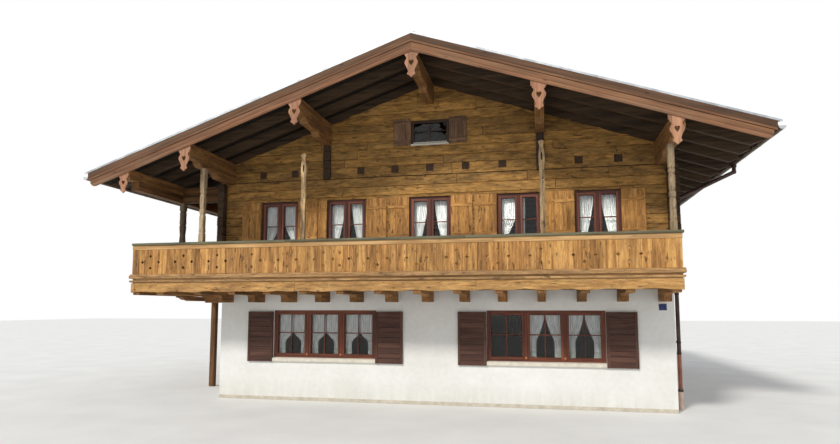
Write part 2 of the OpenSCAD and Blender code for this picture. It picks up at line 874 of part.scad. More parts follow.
module balcony_joists() {
    color("saddlebrown") {
        for (x = joist_xs) on_front() along_x(x - joist_w / 2, x + joist_w / 2)
            joist_outline(front_reach, joist_flat * front_reach, joist_rise * front_reach);
        for (x = gallery_ys) on_left() along_x(x - joist_w / 2, x + joist_w / 2)
            joist_outline(gallery_reach, gallery_joist_flat * gallery_reach,
                gallery_joist_rise * gallery_reach, log_out);
        // Short joists of the outer corner, between the fascia and the first gallery joist
        corner_y = -max(gallery_ys) - joist_w / 2 - seat_gap;
        for (x = [-side_x - gallery_reach + joist_w / 2, -side_x - gallery_reach / 2])
            block(x - joist_w / 2, x + joist_w / 2, balcony_y + fascia_in, corner_y,
                joist_z1 - joist_tip_h, joist_z1);
    }
}

module parapet_boards() {
    color("peru") balcony_band(0, parapet_t, parapet_z, rail_z);
}

// The stanchions stand on the deck behind the parapet boards and the ledges
stanchion_pitch = 950;
stanchion_in = parapet_t + seat_gap + stanchion_w / 2;
inner_face = stanchion_in + stanchion_w / 2;
stanchion_front_xs = spaced(gallery_x + stanchion_in, balcony_x - stanchion_in, stanchion_pitch);
stanchion_side_ys = [
    for (y = spaced(balcony_y + stanchion_in, balcony_end_y - stanchion_in, stanchion_pitch))
        if (y > balcony_y + stanchion_in) y
];

module stanchion(x, y) {
    block(x - stanchion_w / 2, x + stanchion_w / 2, y - stanchion_w / 2, y + stanchion_w / 2,
        floor_z, rail_z - seat_gap);
}

// How far the rail beam, the handrail cap and the ledges stand out of the parapet,
// and how far the board behind the lower ledge stands back
rail_out = 10;
cap_out = 40;
ledge_a_out = 50;
ledge_b_out = 40;
ledge_b_lift = 10;
kick_in = 12;

module parapet_rails() {
    ledge_b_z = floor_z + ledge_b_lift;
    color("burlywood") {
        balcony_band(rail_out, inner_face, rail_z, cap_z);
        balcony_band(cap_out, inner_face, cap_z, cap_z + cap_t);
        balcony_band(ledge_a_out, parapet_t, parapet_z - ledge_a_h, parapet_z);
        balcony_band(ledge_b_out, kick_in, ledge_b_z, ledge_b_z + ledge_b_h);
        balcony_band(-kick_in - seat_gap, parapet_t, floor_z - fascia_drop, parapet_z - ledge_a_h);
        for (x = stanchion_front_xs) stanchion(x, balcony_y + stanchion_in);
        for (y = stanchion_side_ys) stanchion(gallery_x + stanchion_in, y);
    }
}

// Carved square post: the same outline cut from both sides. Each row of the
// outline is a height up the shaft and a half width, as shares of the post
module carved_outline(w, z0, z1) {
    h = z1 - z0;
    rows = [
        [0, 0.5], [0.50, 0.5], [0.515, 0.42], [0.53, 0.5], [0.56, 0.5], [0.60, 0.36], [0.66, 0.5],
        [0.72, 0.5], [0.735, 0.34], [0.75, 0.46], [0.765, 0.34], [0.80, 0.5], [0.85, 0.5],
        [0.88, 0.36], [0.90, 0.48], [0.915, 0.48], [0.93, 0.5], [1, 0.5]
    ];
    polygon(concat(
        [for (r = rows) [r[1] * w, z0 + r[0] * h]],
        [for (i = [len(rows) - 1 : -1 : 0]) [-rows[i][1] * w, z0 + rows[i][0] * h]]
    ));
}

module carved_post(w, z0, z1) {
    intersection() {
        along_y(-w / 2, w / 2) carved_outline(w, z0, z1);
        along_x(-w / 2, w / 2) carved_outline(w, z0, z1);
    }
}

// Carved posts under the wall purlins, a little further in than these and clear of
// the parapet's end
corner_post_y = balcony_y + inner_face + corner_post_w / 2;
corner_post_right = balcony_x - end_in - seat_gap - corner_post_w / 2;
corner_post_in = 50;
corner_post_xs = [corner_post_in - wall_purlin, min(wall_purlin - corner_post_in, corner_post_right)];

module corner_posts() {
    top = rafter_bottom(wall_purlin) - purlin_h - corbel_a_h;
    color("burlywood") for (x = corner_post_xs)
        translate([x, corner_post_y, 0]) carved_post(corner_post_w, floor_z, top);
}

// Slender post that ends free in a knob over a wider head, with a slit and a stay
// back to the wall
slit_z = 5490;
slit_h = 180;
slit_w = 40;
stay_w = 24;
stay_wall_z = 5480;
stay_post_z = 5560;

module slender_post() {
    w = slender_w;
    neck = slender_top - 0.8 * w;
    head = slit_z - 1.6 * w;
    y0 = balcony_y + inner_face;
    y1 = y0 + slender_t;
    along_y(y0, y1) difference() {
        union() {
            translate([-0.42 * w, floor_z]) square([0.84 * w, head - floor_z]);
            polygon([
                [-0.42 * w, head], [-0.5 * w, slit_z], [-0.42 * w, neck - w], [-0.32 * w, neck],
                [0.32 * w, neck], [0.42 * w, neck - w], [0.5 * w, slit_z], [0.42 * w, head]
            ]);
            translate([-0.32 * w, neck]) square([0.64 * w, 0.4 * w]);
            translate([0, slender_top - 0.37 * w]) scale([1.12, 1]) circle(r = 0.37 * w);
        }
        translate([-slit_w / 2, slit_z - slit_h / 2]) square([slit_w, slit_h]);
    }
    along_x(-stay_w / 2, stay_w / 2) polygon([
        [y1 + seat_gap, stay_post_z - stay_w], [front_y, stay_wall_z - stay_w],
        [front_y, stay_wall_z], [y1 + seat_gap, stay_post_z]
    ]);
}

module slender_posts() {
    color("tan") for (s = [-1, 1]) translate([s * slender_x, 0, 0]) slender_post();
}

// Posts, plate and cross beams that carry the gallery purlin, and the posts under
// the deck. The plate stops short of the purlin's ends
gallery_post_x = gallery_x + inner_face + gallery_post_w / 2 + 45;
gallery_beam_z1 = rafter_bottom(gallery_purlin) - gallery_beam_h;
gallery_plate_in = 325;
gallery_bay = (back_gable_y - front_gable_y) / (gallery_posts_n - 1);
gallery_frame_ys = [for (i = [0 : gallery_posts_n - 1]) front_gable_y + i * gallery_bay];
ground_post_w = 150;
ground_bay = house_d / ground_posts_n;
ground_post_ys = [for (i = [1 : ground_posts_n]) front_y + (i - 0.5) * ground_bay];
ground_post_x = -side_x - gallery_reach + ground_post_w / 2;
edge_beam_h = 120;
edge_beam_nose = 480;

module gallery_frame() {
    half = gallery_post_w / 2;
    beam_z0 = gallery_beam_z1 - gallery_beam_h;
    plate_x = -gallery_purlin + purlin_w / 2;
    color("saddlebrown") {
        block(plate_x - purlin_w, plate_x, purlin_y0 + gallery_plate_in, purlin_y1 - gallery_plate_in,
            beam_z0, gallery_beam_z1);
        for (i = [0 : gallery_posts_n - 1]) {
            y = gallery_frame_ys[i];
            // The first and last beams are double and butt against the heads of the
            // gable walls' logs
            ends = i == 0 || i == gallery_posts_n - 1;
            block(gallery_post_x - half, gallery_post_x + half, y - half, y + half,
                floor_z, beam_z0 - seat_gap);
            block(plate_x + seat_gap, ends ? -log_x - log_end_out : -log_x, y - half, y + half,
                beam_z0, ends ? rafter_bottom(gallery_purlin) : gallery_beam_z1);
        }
        // Edge beam under the joist tips, on the ground posts, with a carved front end
        z1 = joist_z1 - joist_tip_h;
        z0 = z1 - edge_beam_h;
        y0 = -max(gallery_ys) - joist_w / 2;
        along_x(ground_post_x - ground_post_w / 2, ground_post_x + ground_post_w / 2) polygon([
            [y0 - edge_beam_nose, z1], [y0 - edge_beam_nose, z1 - 0.25 * edge_beam_h],
            [y0 - edge_beam_nose / 2, z0 + 0.25 * edge_beam_h], [y0, z0],
            [balcony_end_y - fascia_in, z0], [balcony_end_y - fascia_in, z1]
        ]);
        for (y = ground_post_ys)
            block(ground_post_x - ground_post_w / 2, ground_post_x + ground_post_w / 2,
                y - ground_post_w / 2, y + ground_post_w / 2, 0, z0 - seat_gap);
    }
}

// Window frames, fw wide, with one light between each pair of posts
module frame(x, w, h, top, lights, fw = frame_w) {
    light_w = (w - 2 * fw - (lights - 1) * mullion_w) / lights;
    difference() {
        block(x - w / 2, x + w / 2, frame_setback, frame_setback + frame_t, top - h, top);
        for (i = [0 : lights - 1]) {
            x0 = x - w / 2 + fw + i * (light_w + mullion_w);
            block(x0, x0 + light_w, frame_setback - cut, frame_setback + frame_t + cut,
                top - h + fw, top - fw);
        }
    }
}

module panes(x, w, h, top, lights, fw = frame_w) {
    light_w = (w - 2 * fw - (lights - 1) * mullion_w) / lights;
    y0 = frame_setback + (frame_t - glass_t) / 2;
    for (i = [0 : lights - 1]) {
        x0 = x - w / 2 + fw + i * (light_w + mullion_w);
        block(x0, x0 + light_w, y0, y0 + glass_t, top - h + fw, top - fw);
    }
}

// The child is placed once at each three-light window
module each_triple() {
    on_front() for (x = triple_xs) translate([x, 0, 0]) children();
    on_back() for (x = triple_xs) translate([x, 0, 0]) children();
    on_right() for (x = side_triple_xs) translate([x, 0, 0]) children();
    on_left() for (x = left_triple_xs) translate([x, 0, 0]) children();
}

module each_double() {
    on_front() for (x = double_xs) translate([x, 0, 0]) children();
    on_back() for (x = double_xs) translate([x, 0, 0]) children();
    on_right(log_x) for (x = side_double_xs) translate([x, 0, 0]) children();
    on_left(log_x) for (x = left_double_xs) translate([x, 0, 0]) children();
}

module each_attic() {
    on_front() children();
    on_back() children();
}

module ground_windows() {
    color("maroon") each_triple() frame(0, triple_w, triple_h, triple_top, 3);
}

module upper_windows() {
    color("maroon") {
        each_double() frame(0, double_w, double_h, double_top, 2);
        each_attic() frame(0, attic_w, attic_h, attic_top, 1, attic_frame_w);
    }
}

module window_glass() {
    color("lightblue") {
        each_triple() panes(0, triple_w, triple_h, triple_top, 3);
        each_double() panes(0, double_w, double_h, double_top, 2);
        each_attic() panes(0, attic_w, attic_h, attic_top, 1, attic_frame_w);
    }
}

// Sills in front of the walls, under the openings
module sill(w, z, h) {
    block(-w / 2, w / 2, -sill_out, 0, z - h, z);
}

module window_sills() {
    color("whitesmoke") {
        each_triple() sill(triple_w, triple_top - triple_h, sill_h);
        each_attic() sill(attic_w, attic_top - attic_h, sill_h / 2);
    }
}

// One open shutter leaf against the wall, beside an opening of width w
module leaf(s, w, leaf_w, z0, z1, lift = 0) {
    x = s * (w / 2 + shutter_gap + leaf_w / 2);
    block(x - leaf_w / 2, x + leaf_w / 2, -lift - shutter_t, -lift, z0, z1);
}

// Gap between a shutter and its window, and where the leaves start and end
shutter_gap = 4;
ground_shutter_above = -32;
ground_shutter_below = 100;
attic_shutter_above = 40;
attic_shutter_below = 20;

module ground_shutters() {
    z1 = triple_top + ground_shutter_above;
    z0 = triple_top - triple_h - ground_shutter_below;
    color("dimgray") each_triple() for (s = [-1, 1]) {
        leaf(s, triple_w, ground_shutter_w, z0, z1);
        leaf(s, triple_w, ground_shutter_w, z0, z1, shutter_t);
    }
}

// The leaves of neighbouring windows lie one over the other where they meet
module upper_shutters() {
    color("goldenrod") {
        for (i = [0 : len(double_xs) - 1]) for (s = [-1, 1]) {
            on_front() translate([double_xs[i], 0, 0])
                leaf(s, double_w, upper_shutter_w, double_top - double_h, double_top, over(i, s));
            on_back() translate([double_xs[i], 0, 0])
                leaf(s, double_w, upper_shutter_w, double_top - double_h, double_top, over(i, s));
        }
        on_right(log_x) for (x = side_double_xs) for (s = [-1, 1]) translate([x, 0, 0])
            leaf(s, double_w, upper_shutter_w, double_top - double_h, double_top);
        on_left(log_x) for (x = left_double_xs) for (s = [-1, 1]) translate([x, 0, 0])
            leaf(s, double_w, upper_shutter_w, double_top - double_h, double_top);
        each_attic() for (s = [-1, 1])
            leaf(s, attic_w, attic_shutter_w, attic_top - attic_h - attic_shutter_below,
                attic_top + attic_shutter_above);
    }
}

// The outer windows' inner leaves lie over their neighbours' leaves
function over(i, s) = (i == 0 && s == 1) || (i == 4 && s == -1) ? shutter_t : 0;

// Door leaf with two shallow panels on its outer face
panel_depth = 12;
panel_rim = 150;

module door(x, z0, h) {
    y0 = frame_setback;
    panel_h = (h - 3 * panel_rim) / 2;
    translate([x, 0, 0]) difference() {
        block(-door_w / 2, door_w / 2, y0, y0 + door_t, z0, z0 + h);
        for (z = [z0 + panel_rim, z0 + 2 * panel_rim + panel_h])
            block(-door_w / 2 + panel_rim, door_w / 2 - panel_rim, y0 - cut, y0 + panel_depth,
                z, z + panel_h);
    }
}

module doors() {
    color("saddlebrown") {
        on_left() door(entrance_x, plinth_h + ground_floor_t, door_h);
        on_left(log_x) door(gallery_door_x, floor_z, gallery_door_h);
    }
}

// Blank number plate beside the right corner
plate_w = 185;
plate_h = 165;
plate_t = 6;
plate_in = 242;
plate_z = 2302;

module number_plate() {
    color("midnightblue") on_front()
        translate([side_x - plate_in, 0, plate_z])
            block(-plate_w / 2, plate_w / 2, -plate_t, 0, -plate_h / 2, plate_h / 2);
}

plinth();
ground_floor();
front_wall();
right_wall();
back_wall();
left_wall();
upper_floor();
front_log_wall();
right_log_wall();
back_log_wall();
left_log_wall();
front_gable();
back_gable();
attic_joists();
attic_floor();
log_heads();
purlins();
corbels();
rafters();
roof_boards_left();
roof_boards_right();
roof_tiles_left();
roof_tiles_right();
ridge_tiles();
bargeboards();
verge_flashing();
pendants();
gutters();
downpipes();
balcony_joists();
balcony_deck();
balcony_fascia();
parapet_boards();
parapet_rails();
corner_posts();
slender_posts();
gallery_frame();
ground_windows();
upper_windows();
window_glass();
window_sills();
ground_shutters();
upper_shutters();
doors();
number_plate();
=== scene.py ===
"""Alpine chalet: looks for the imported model, in metres and in its frame."""

import math
import random

import bmesh
import bpy
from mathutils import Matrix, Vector, noise
from mathutils.geometry import tessellate_polygon


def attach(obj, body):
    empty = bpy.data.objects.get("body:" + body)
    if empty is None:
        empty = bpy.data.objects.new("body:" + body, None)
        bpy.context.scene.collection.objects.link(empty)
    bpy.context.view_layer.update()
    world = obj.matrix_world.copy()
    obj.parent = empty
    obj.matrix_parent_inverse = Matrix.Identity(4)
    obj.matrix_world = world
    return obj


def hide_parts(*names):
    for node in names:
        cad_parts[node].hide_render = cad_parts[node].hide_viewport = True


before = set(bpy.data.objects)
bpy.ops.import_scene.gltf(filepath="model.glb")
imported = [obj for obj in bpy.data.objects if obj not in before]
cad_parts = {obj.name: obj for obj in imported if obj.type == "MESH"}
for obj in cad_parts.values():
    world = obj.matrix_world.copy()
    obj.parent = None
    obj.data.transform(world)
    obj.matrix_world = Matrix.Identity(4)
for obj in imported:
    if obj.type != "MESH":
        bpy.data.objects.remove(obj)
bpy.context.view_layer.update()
rng = random.Random(11)

# Walls, from the middle of the house, and heights above the plinth's underside
FRONT_Y, BACK_Y, SIDE_X, LOG_X, LOG_T, LOG_END_X = -6.0, 6.0, 5.5, 5.61, 0.17, 5.72
MASONRY_TOP, FLOOR_Z, GABLE_Z, SIDE_TOP = 2.7, 2.88, 5.542, 5.9265
# Windows: width, height and top, and their places along the walls
TRIPLE, DOUBLE, ATTIC = (2.686, 1.18, 2.222), (1.026, 1.2, 5.001), (0.948, 0.6, 6.928)
FRONT_TRIPLE, SIDE_TRIPLE = 2.692, 3.3
DOUBLES = [-3.938, -2.14, 0.0, 2.14, 3.938]
RIGHT_DOUBLES, LEFT_DOUBLES = [-4.3, -1.5, 1.5, 4.3], [-4.3, -1.5, 4.3]
# Roof: pitch, ridge, eaves by side, verges of the boards and of the covering, purlins
PITCH = math.radians(18.9)
SLOPE, ROOF_COS, ROOF_SIN = math.tan(PITCH), math.cos(PITCH), math.sin(PITCH)
APEX_Z, ROOF_DEPTH = 8.18887, 0.3414
EAVE = {-1: 7.86, 1: 7.02}
VERGE_Y0, VERGE_Y1, COVER_Y0, COVER_Y1 = -8.17, 7.30, -8.13, 7.26
MID_PURLIN, WALL_PURLIN, GALLERY_PURLIN = 2.664, 5.32, 6.875
# Balcony: outer faces of the parapet, and the underside and top of the joists
GALLERY_X, BALCONY_Y, BALCONY_X, BALCONY_END = -7.0, -7.55, 5.384, 6.04
JOIST_Z0, JOIST_Z1, BOARD_T = 2.59, 2.84, 0.028


def roof_z(x):
    return APEX_Z - abs(x) * SLOPE


def rafter_bottom(x):
    return roof_z(x) - ROOF_DEPTH


def about(middle, half):
    return (middle - half, middle + half)


def arc(x, z, rx, rz, start, turn, n):
    """n + 1 points of an ellipse round x, z, from the angle start through turn."""
    angles = [start + turn * k / n for k in range(n + 1)]
    return [(x + rx * math.cos(t), z + rz * math.sin(t)) for t in angles]


class Plane:
    """A wall's own plan: a along it as seen from outside, d inward from its face, z up."""

    def __init__(self, origin, along, inward):
        self.o, self.u, self.n = Vector(origin), Vector(along), Vector(inward)
        self.z = Vector((0, 0, 1))

    def at(self, a, d, z):
        return self.o + self.u * a + self.n * d + self.z * z

    def axis(self, grain):
        return {"a": self.u, "d": self.n, "z": self.z}.get(grain, grain)


def facing(side, distance):
    """Plane of a wall that faces the front, back, right or left, this far from the middle."""
    along, inward = {"front": ((1, 0, 0), (0, 1, 0)), "back": ((-1, 0, 0), (0, -1, 0)),
                     "right": ((0, 1, 0), (-1, 0, 0)), "left": ((0, -1, 0), (1, 0, 0))}[side]
    return Plane([-distance * v for v in inward], along, inward)


WORLD = Plane((0, 0, 0), (1, 0, 0), (0, 1, 0))
FRONT, BACK = facing("front", -FRONT_Y), facing("back", BACK_Y)
RIGHT, LEFT = facing("right", SIDE_X), facing("left", SIDE_X)
RIGHT_LOG, LEFT_LOG = facing("right", LOG_X), facing("left", LOG_X)
# Outer faces of the parapet
RUN_FRONT, RUN_LEFT = facing("front", -BALCONY_Y), facing("left", -GALLERY_X)
RUN_RIGHT, RUN_BACK = facing("right", BALCONY_X), facing("back", BALCONY_END)
TRIPLES = [(wall, s * FRONT_TRIPLE) for wall in (FRONT, BACK) for s in (-1, 1)]
TRIPLES += [(RIGHT, -SIDE_TRIPLE), (RIGHT, SIDE_TRIPLE), (LEFT, -SIDE_TRIPLE)]
UPPER = [(wall, x) for wall, xs in ((FRONT, DOUBLES), (BACK, DOUBLES), (RIGHT_LOG, RIGHT_DOUBLES),
                                    (LEFT_LOG, LEFT_DOUBLES)) for x in xs]


# Procedural materials
def srgb(c):
    """Linear colour from a screen colour of 0 to 255."""
    return tuple(((v / 255) / 12.92 if v <= 10 else ((v / 255 + 0.055) / 1.055) ** 2.4) for v in c) + (1.0,)


def linear(c):
    return (*c, 1.0)


class Mat:
    """A small helper to build one procedural node material."""

    def __init__(self, name, rough, metal=0.0, spec=0.4):
        self.m = bpy.data.materials.new(name)
        self.m.use_nodes = True
        self.t = self.m.node_tree
        self.t.nodes.clear()
        self.out = self.t.nodes.new("ShaderNodeOutputMaterial")
        self.b = self.t.nodes.new("ShaderNodeBsdfPrincipled")
        for key, value in (("Roughness", rough), ("Metallic", metal), ("Specular IOR Level", spec)):
            self.b.inputs[key].default_value = value
        self.t.links.new(self.b.outputs[0], self.out.inputs[0])

    def put(self, kind, ins=None, **attrs):
        n = self.t.nodes.new("ShaderNode" + kind)
        for k, v in attrs.items():
            setattr(n, k, v)
        for k, v in (ins or {}).items():
            self.set(n.inputs[k], v)
        return n

    def set(self, socket, v):
        if isinstance(v, bpy.types.NodeSocket):
            self.t.links.new(v, socket)
        else:
            socket.default_value = v

    def math(self, op, a, b=0.0):
        return self.put("Math", {0: a, 1: b}, operation=op).outputs[0]

    def add(self, a, b):
        return self.math("ADD", a, b)

    def mul(self, a, b):
        return self.math("MULTIPLY", a, b)

    def scaled(self, vec, s):
        return self.put("VectorMath", {0: vec, 1: s}, operation="MULTIPLY").outputs[0]

    def parts(self, vec):
        return self.put("SeparateXYZ", {0: vec}).outputs

    def noise(self, vec, scale=1.0, detail=4.0, rough=0.55, dist=0.0):
        return self.put("TexNoise", {"Vector": vec, "Scale": scale, "Detail": detail,
                                     "Roughness": rough, "Distortion": dist}).outputs[0]

    def ramp(self, fac, stops, convert=srgb):
        n = self.put("ValToRGB", {0: fac})
        r = n.color_ramp
        r.interpolation = "LINEAR"
        while len(r.elements) > 1:
            r.elements.remove(r.elements[-1])
        for i, (p, c) in enumerate(stops):
            e = r.elements[0] if i == 0 else r.elements.new(p)
            e.position = p
            e.color = convert(c)
        return n.outputs[0]

    def grey(self, fac, lo, hi, a=0.0, b=1.0):
        return self.put("MapRange", {0: fac, 1: lo, 2: hi, 3: a, 4: b}, clamp=True).outputs[0]

    def mix(self, fac, a, b, blend="MIX"):
        n = self.put("Mix", None, data_type="RGBA", blend_type=blend)
        for socket, value in ((0, fac), (6, a), (7, b)):
            self.set(n.inputs[socket], value)
        return n.outputs[2]

    def tint(self, c, t):
        return self.mix(1.0, c, self.put("CombineColor", {0: t, 1: t, 2: t}).outputs[0], "MULTIPLY")

    def bump(self, height, strength, distance):
        n = self.put("Bump", {"Height": height, "Strength": strength, "Distance": distance})
        self.t.links.new(n.outputs[0], self.b.inputs["Normal"])

    def world(self, order="xyz"):
        """Object coordinates, which are the frame's own, with the grain's axis put first."""
        c = self.put("TexCoord").outputs["Object"]
        if order != "xyz":
            parts = self.parts(c)
            m = self.put("CombineXYZ")
            for i, ax in enumerate(order):
                self.t.links.new(parts["xyz".index(ax)], m.inputs[i])
            c = m.outputs[0]
        return c

    def grain(self):
        return self.attr("grain").outputs["Vector"]

    def tone(self):
        return self.attr("tone").outputs["Fac"]

    def attr(self, name):
        return self.put("Attribute", attribute_name=name)

    def colour(self, c):
        self.set(self.b.inputs["Base Color"], c)

    def rough(self, value):
        self.set(self.b.inputs["Roughness"], value)


def wood(name, pale, mid, dark, order=None, rough=0.75, knots=0.5, cracks=0.5, weather=None,
         weather_amount=0.35, planks=None, spread=0.3, bump=0.35, marks=0.0, hewn_bump=0.0,
         mottle=0.0, short=1.0):
    """Sawn or hewn wood. Pieces made here carry their own grain; CAD nodes use an axis order.
    planks is the part of the grain across the boards and their width."""
    m = Mat(name, rough)
    seam = None
    if order is None:
        g, tone = m.grain(), m.tone()
    else:
        g, tone = m.world(order), None
    if planks:
        across, pitch = planks
        along = m.math("DIVIDE", m.parts(g)[across], pitch)
        cell = m.math("FLOOR", along)
        tone = m.put("TexWhiteNoise", {"W": cell}, noise_dimensions="1D").outputs["Value"]
        seam = m.grey(m.math("ABSOLUTE", m.math("SUBTRACT", m.math("FRACT", along), 0.5)), 0.47, 0.495)
        shift = m.put("CombineXYZ", {0: m.mul(tone, 17.3)}).outputs[0]
        g = m.put("VectorMath", {0: g, 1: shift}, operation="ADD").outputs[0]

    def fleck(stretch, detail, sharp, bend=0.0):
        return m.noise(m.scaled(g, stretch), 1.0, detail, sharp, bend)

    def shade(share):
        return srgb([v * share for v in dark])

    fine = fleck((1.6 * short, 46, 46), 5, 0.65)
    broad = fleck((0.6 * short, 7, 7), 3, 0.5, 0.6)
    wave = m.put("TexWave", {"Vector": m.scaled(g, (0.5 * short, 7.5, 7.5)), "Scale": 1.0,
                             "Distortion": 7.0, "Detail": 3.0, "Detail Scale": 1.2},
                 wave_type="BANDS", bands_direction="Y").outputs["Fac"]
    f = m.add(m.mul(fine, 0.5), m.add(m.mul(broad, 0.35), m.mul(wave, 0.15)))
    c = m.ramp(f, [(0.33, dark), (0.5, mid), (0.66, pale)])
    if weather:
        w = m.grey(fleck((0.9, 2.6, 2.6), 5, 0.6), 0.45, 0.7, 0.0, weather_amount)
        c = m.mix(w, c, srgb(weather))
    if knots:
        cells = m.put("TexVoronoi", {"Vector": m.scaled(g, (2.4, 6.5, 6.5)), "Scale": 1.0}).outputs
        pick = m.put("SeparateColor", {0: cells["Color"]}).outputs[0]
        near = m.grey(cells["Distance"], 0.05, 0.15, 1.0, 0.0)
        k = m.mul(near, m.grey(pick, 1.0 - knots, 1.0 - knots + 0.01))
        c = m.mix(m.mul(k, 0.75), c, shade(0.55))
    if cracks:
        c = m.mix(m.grey(fleck((0.7, 30, 30), 2, 0.4), 0.70, 0.76, 0.0, cracks), c, shade(0.4))
    if marks:
        c = m.mix(m.grey(fleck((4.5, 17, 17), 3, 0.6, 0.4), 0.60, 0.68, 0.0, marks), c, shade(0.62))
    if mottle:
        patches = fleck((4.2, 19, 19), 5, 0.7, 0.6)
        c = m.tint(c, m.grey(patches, 0.36, 0.64, 1.0 - mottle, 1.0 + mottle * 0.7))
    if tone is not None:
        c = m.tint(c, m.grey(tone, 0.0, 1.0, 1.0 - spread, 1.0 + spread * 0.6))
    h = fine
    if seam is not None:
        c = m.mix(m.mul(seam, 0.8), c, shade(0.3))
        h = m.math("SUBTRACT", fine, m.mul(seam, 1.5))
    if hewn_bump:
        h = m.add(h, m.mul(fleck((2.6, 8, 8), 2, 0.5, 0.8), hewn_bump))
    m.colour(c)
    m.rough(m.grey(fine, 0.2, 0.8, rough + 0.1, rough - 0.08))
    m.bump(h, bump, 0.004)
    return m.m


def plaster_mat():
    m = Mat("plaster_mat", 0.92, spec=0.25)
    p = m.world()
    mid = m.noise(p, 9.0, 5, 0.6)
    c = m.ramp(m.add(m.mul(m.noise(p, 0.9, 4, 0.6), 0.6), m.mul(mid, 0.4)),
               [(0.35, (228, 227, 222)), (0.6, (239, 239, 236)), (0.72, (244, 244, 242))])
    drips = m.noise(m.scaled(p, (5, 5, 0.5)), 1.0, 4, 0.6)
    low = m.mul(m.grey(m.parts(p)[2], 0.08, 0.55, 1.0, 0.0), m.grey(drips, 0.35, 0.65, 0.25, 0.8))
    m.colour(m.mix(m.mul(low, 0.4), c, srgb((176, 168, 150))))
    m.bump(m.add(m.mul(mid, 1.0), m.mul(m.noise(p, 38.0, 4, 0.6), 0.3)), 0.35, 0.012)
    return m.m


def stone_mat(name, a, b, scale=6.0):
    m = Mat(name, 0.9, spec=0.25)
    p = m.world()
    coarse, fine = m.noise(p, scale, 6, 0.65), m.noise(p, scale * 7, 3, 0.6)
    m.colour(m.ramp(m.add(m.mul(coarse, 0.7), m.mul(fine, 0.3)), [(0.35, a), (0.65, b)]))
    m.bump(fine, 0.4, 0.006)
    return m.m


def enamel_mat(name, a, b, rough):
    m = Mat(name, rough)
    p = m.world()
    c = m.ramp(m.noise(p, 14.0, 5, 0.6), [(0.38, a), (0.62, b)])
    m.colour(m.tint(c, m.grey(m.tone(), 0.0, 1.0, 0.85, 1.12)))
    fine = m.noise(p, 126.0, 3, 0.6)
    m.rough(m.grey(fine, 0.3, 0.7, rough - 0.08, rough + 0.12))
    m.bump(fine, 0.15, 0.003)
    return m.m


def metal_mat(name, a, b, rough, metal, scale=4.0):
    m = Mat(name, rough, metal)
    p = m.world()
    n = m.noise(p, scale, 6, 0.65)
    m.colour(m.ramp(n, [(0.35, a), (0.65, b)]))
    m.rough(m.grey(n, 0.3, 0.7, rough - 0.1, rough + 0.15))
    m.bump(m.noise(p, scale * 6, 2, 0.5), 0.12, 0.002)
    return m.m


def pipe_mat():
    """Brown painted pipe, bare copper below 1.25 m and a pale standpipe below 0.45 m."""
    m = Mat("pipe_mat", 0.42, 0.55)
    p = m.world()
    z = m.parts(p)[2]
    n = m.noise(p, 7.0, 5, 0.6)
    brown, copper, stand = (m.ramp(n, [(0.35, a), (0.65, b)]) for a, b in (
        ((64, 48, 44), (88, 68, 60)), ((134, 82, 66), (168, 108, 88)), ((196, 166, 148), (226, 200, 184))))
    c = m.mix(m.grey(z, 1.248, 1.252), copper, brown)
    m.colour(m.mix(m.grey(z, 0.449, 0.451), stand, c))
    m.rough(m.grey(n, 0.3, 0.7, 0.34, 0.55))
    m.bump(n, 0.08, 0.002)
    return m.m


def tile_mat():
    m = Mat("tile_mat", 0.82, spec=0.3)
    g = m.grain()
    c = m.ramp(m.add(m.mul(m.noise(g, 7.0, 6, 0.65), 0.6), m.mul(m.tone(), 0.4)),
               [(0.2, (86, 58, 48)), (0.5, (128, 80, 62)), (0.8, (158, 108, 84))])
    moss = m.grey(m.noise(m.world(), 1.3, 6, 0.7), 0.52, 0.72, 0.0, 0.65)
    m.colour(m.mix(moss, c, srgb((98, 94, 72))))
    m.bump(m.noise(g, 60.0, 3, 0.6), 0.35, 0.004)
    return m.m


def glass_mat():
    """Clear pane that lets lamp light through to the room, with a thin film of dust."""
    m = Mat("pane_mat", 0.02, spec=0.6)
    n = m.noise(m.world(), 2.2, 4, 0.6)
    m.colour(m.ramp(n, [(0.3, (0.90, 0.93, 0.92)), (0.7, (0.97, 0.98, 0.98))], linear))
    m.b.inputs["Transmission Weight"].default_value = 1.0
    m.b.inputs["IOR"].default_value = 1.3
    m.rough(m.grey(n, 0.4, 0.8, 0.0, 0.06))
    clear = m.put("BsdfTransparent", {0: (0.94, 0.96, 0.95, 1.0)}).outputs[0]
    shadow = m.put("LightPath").outputs["Is Shadow Ray"]
    mix = m.put("MixShader", {0: shadow, 1: m.b.outputs[0], 2: clear})
    m.t.links.new(mix.outputs[0], m.out.inputs[0])
    return m.m


def cloth_mat():
    """Net curtain with a lighter lace band along its hem."""
    m = Mat("net_mat", 0.95, spec=0.15)
    g = m.grain()
    folds = m.noise(m.scaled(g, (6, 2.2, 1)), 1.0, 4, 0.6)
    c = m.ramp(folds, [(0.35, (212, 213, 212)), (0.65, (243, 243, 243))])
    drop = m.parts(g)[1]
    band = m.mul(m.grey(drop, 0.84, 0.86), m.grey(drop, 0.97, 0.99, 1.0, 0.0))
    dots = m.put("TexVoronoi", {"Vector": m.scaled(g, (26, 40, 1)), "Scale": 1.0}).outputs["Distance"]
    m.colour(m.mix(m.mul(band, m.grey(dots, 0.2, 0.45, 0.0, 0.5)), c, srgb((170, 178, 168))))
    m.b.inputs["Sheen Weight"].default_value = 0.2
    weave = m.put("TexWave", {"Vector": m.scaled(g, (160, 260, 1)), "Scale": 1.0, "Distortion": 0.4},
                  bands_direction="DIAGONAL").outputs["Fac"]
    m.bump(weave, 0.15, 0.001)
    return m.m


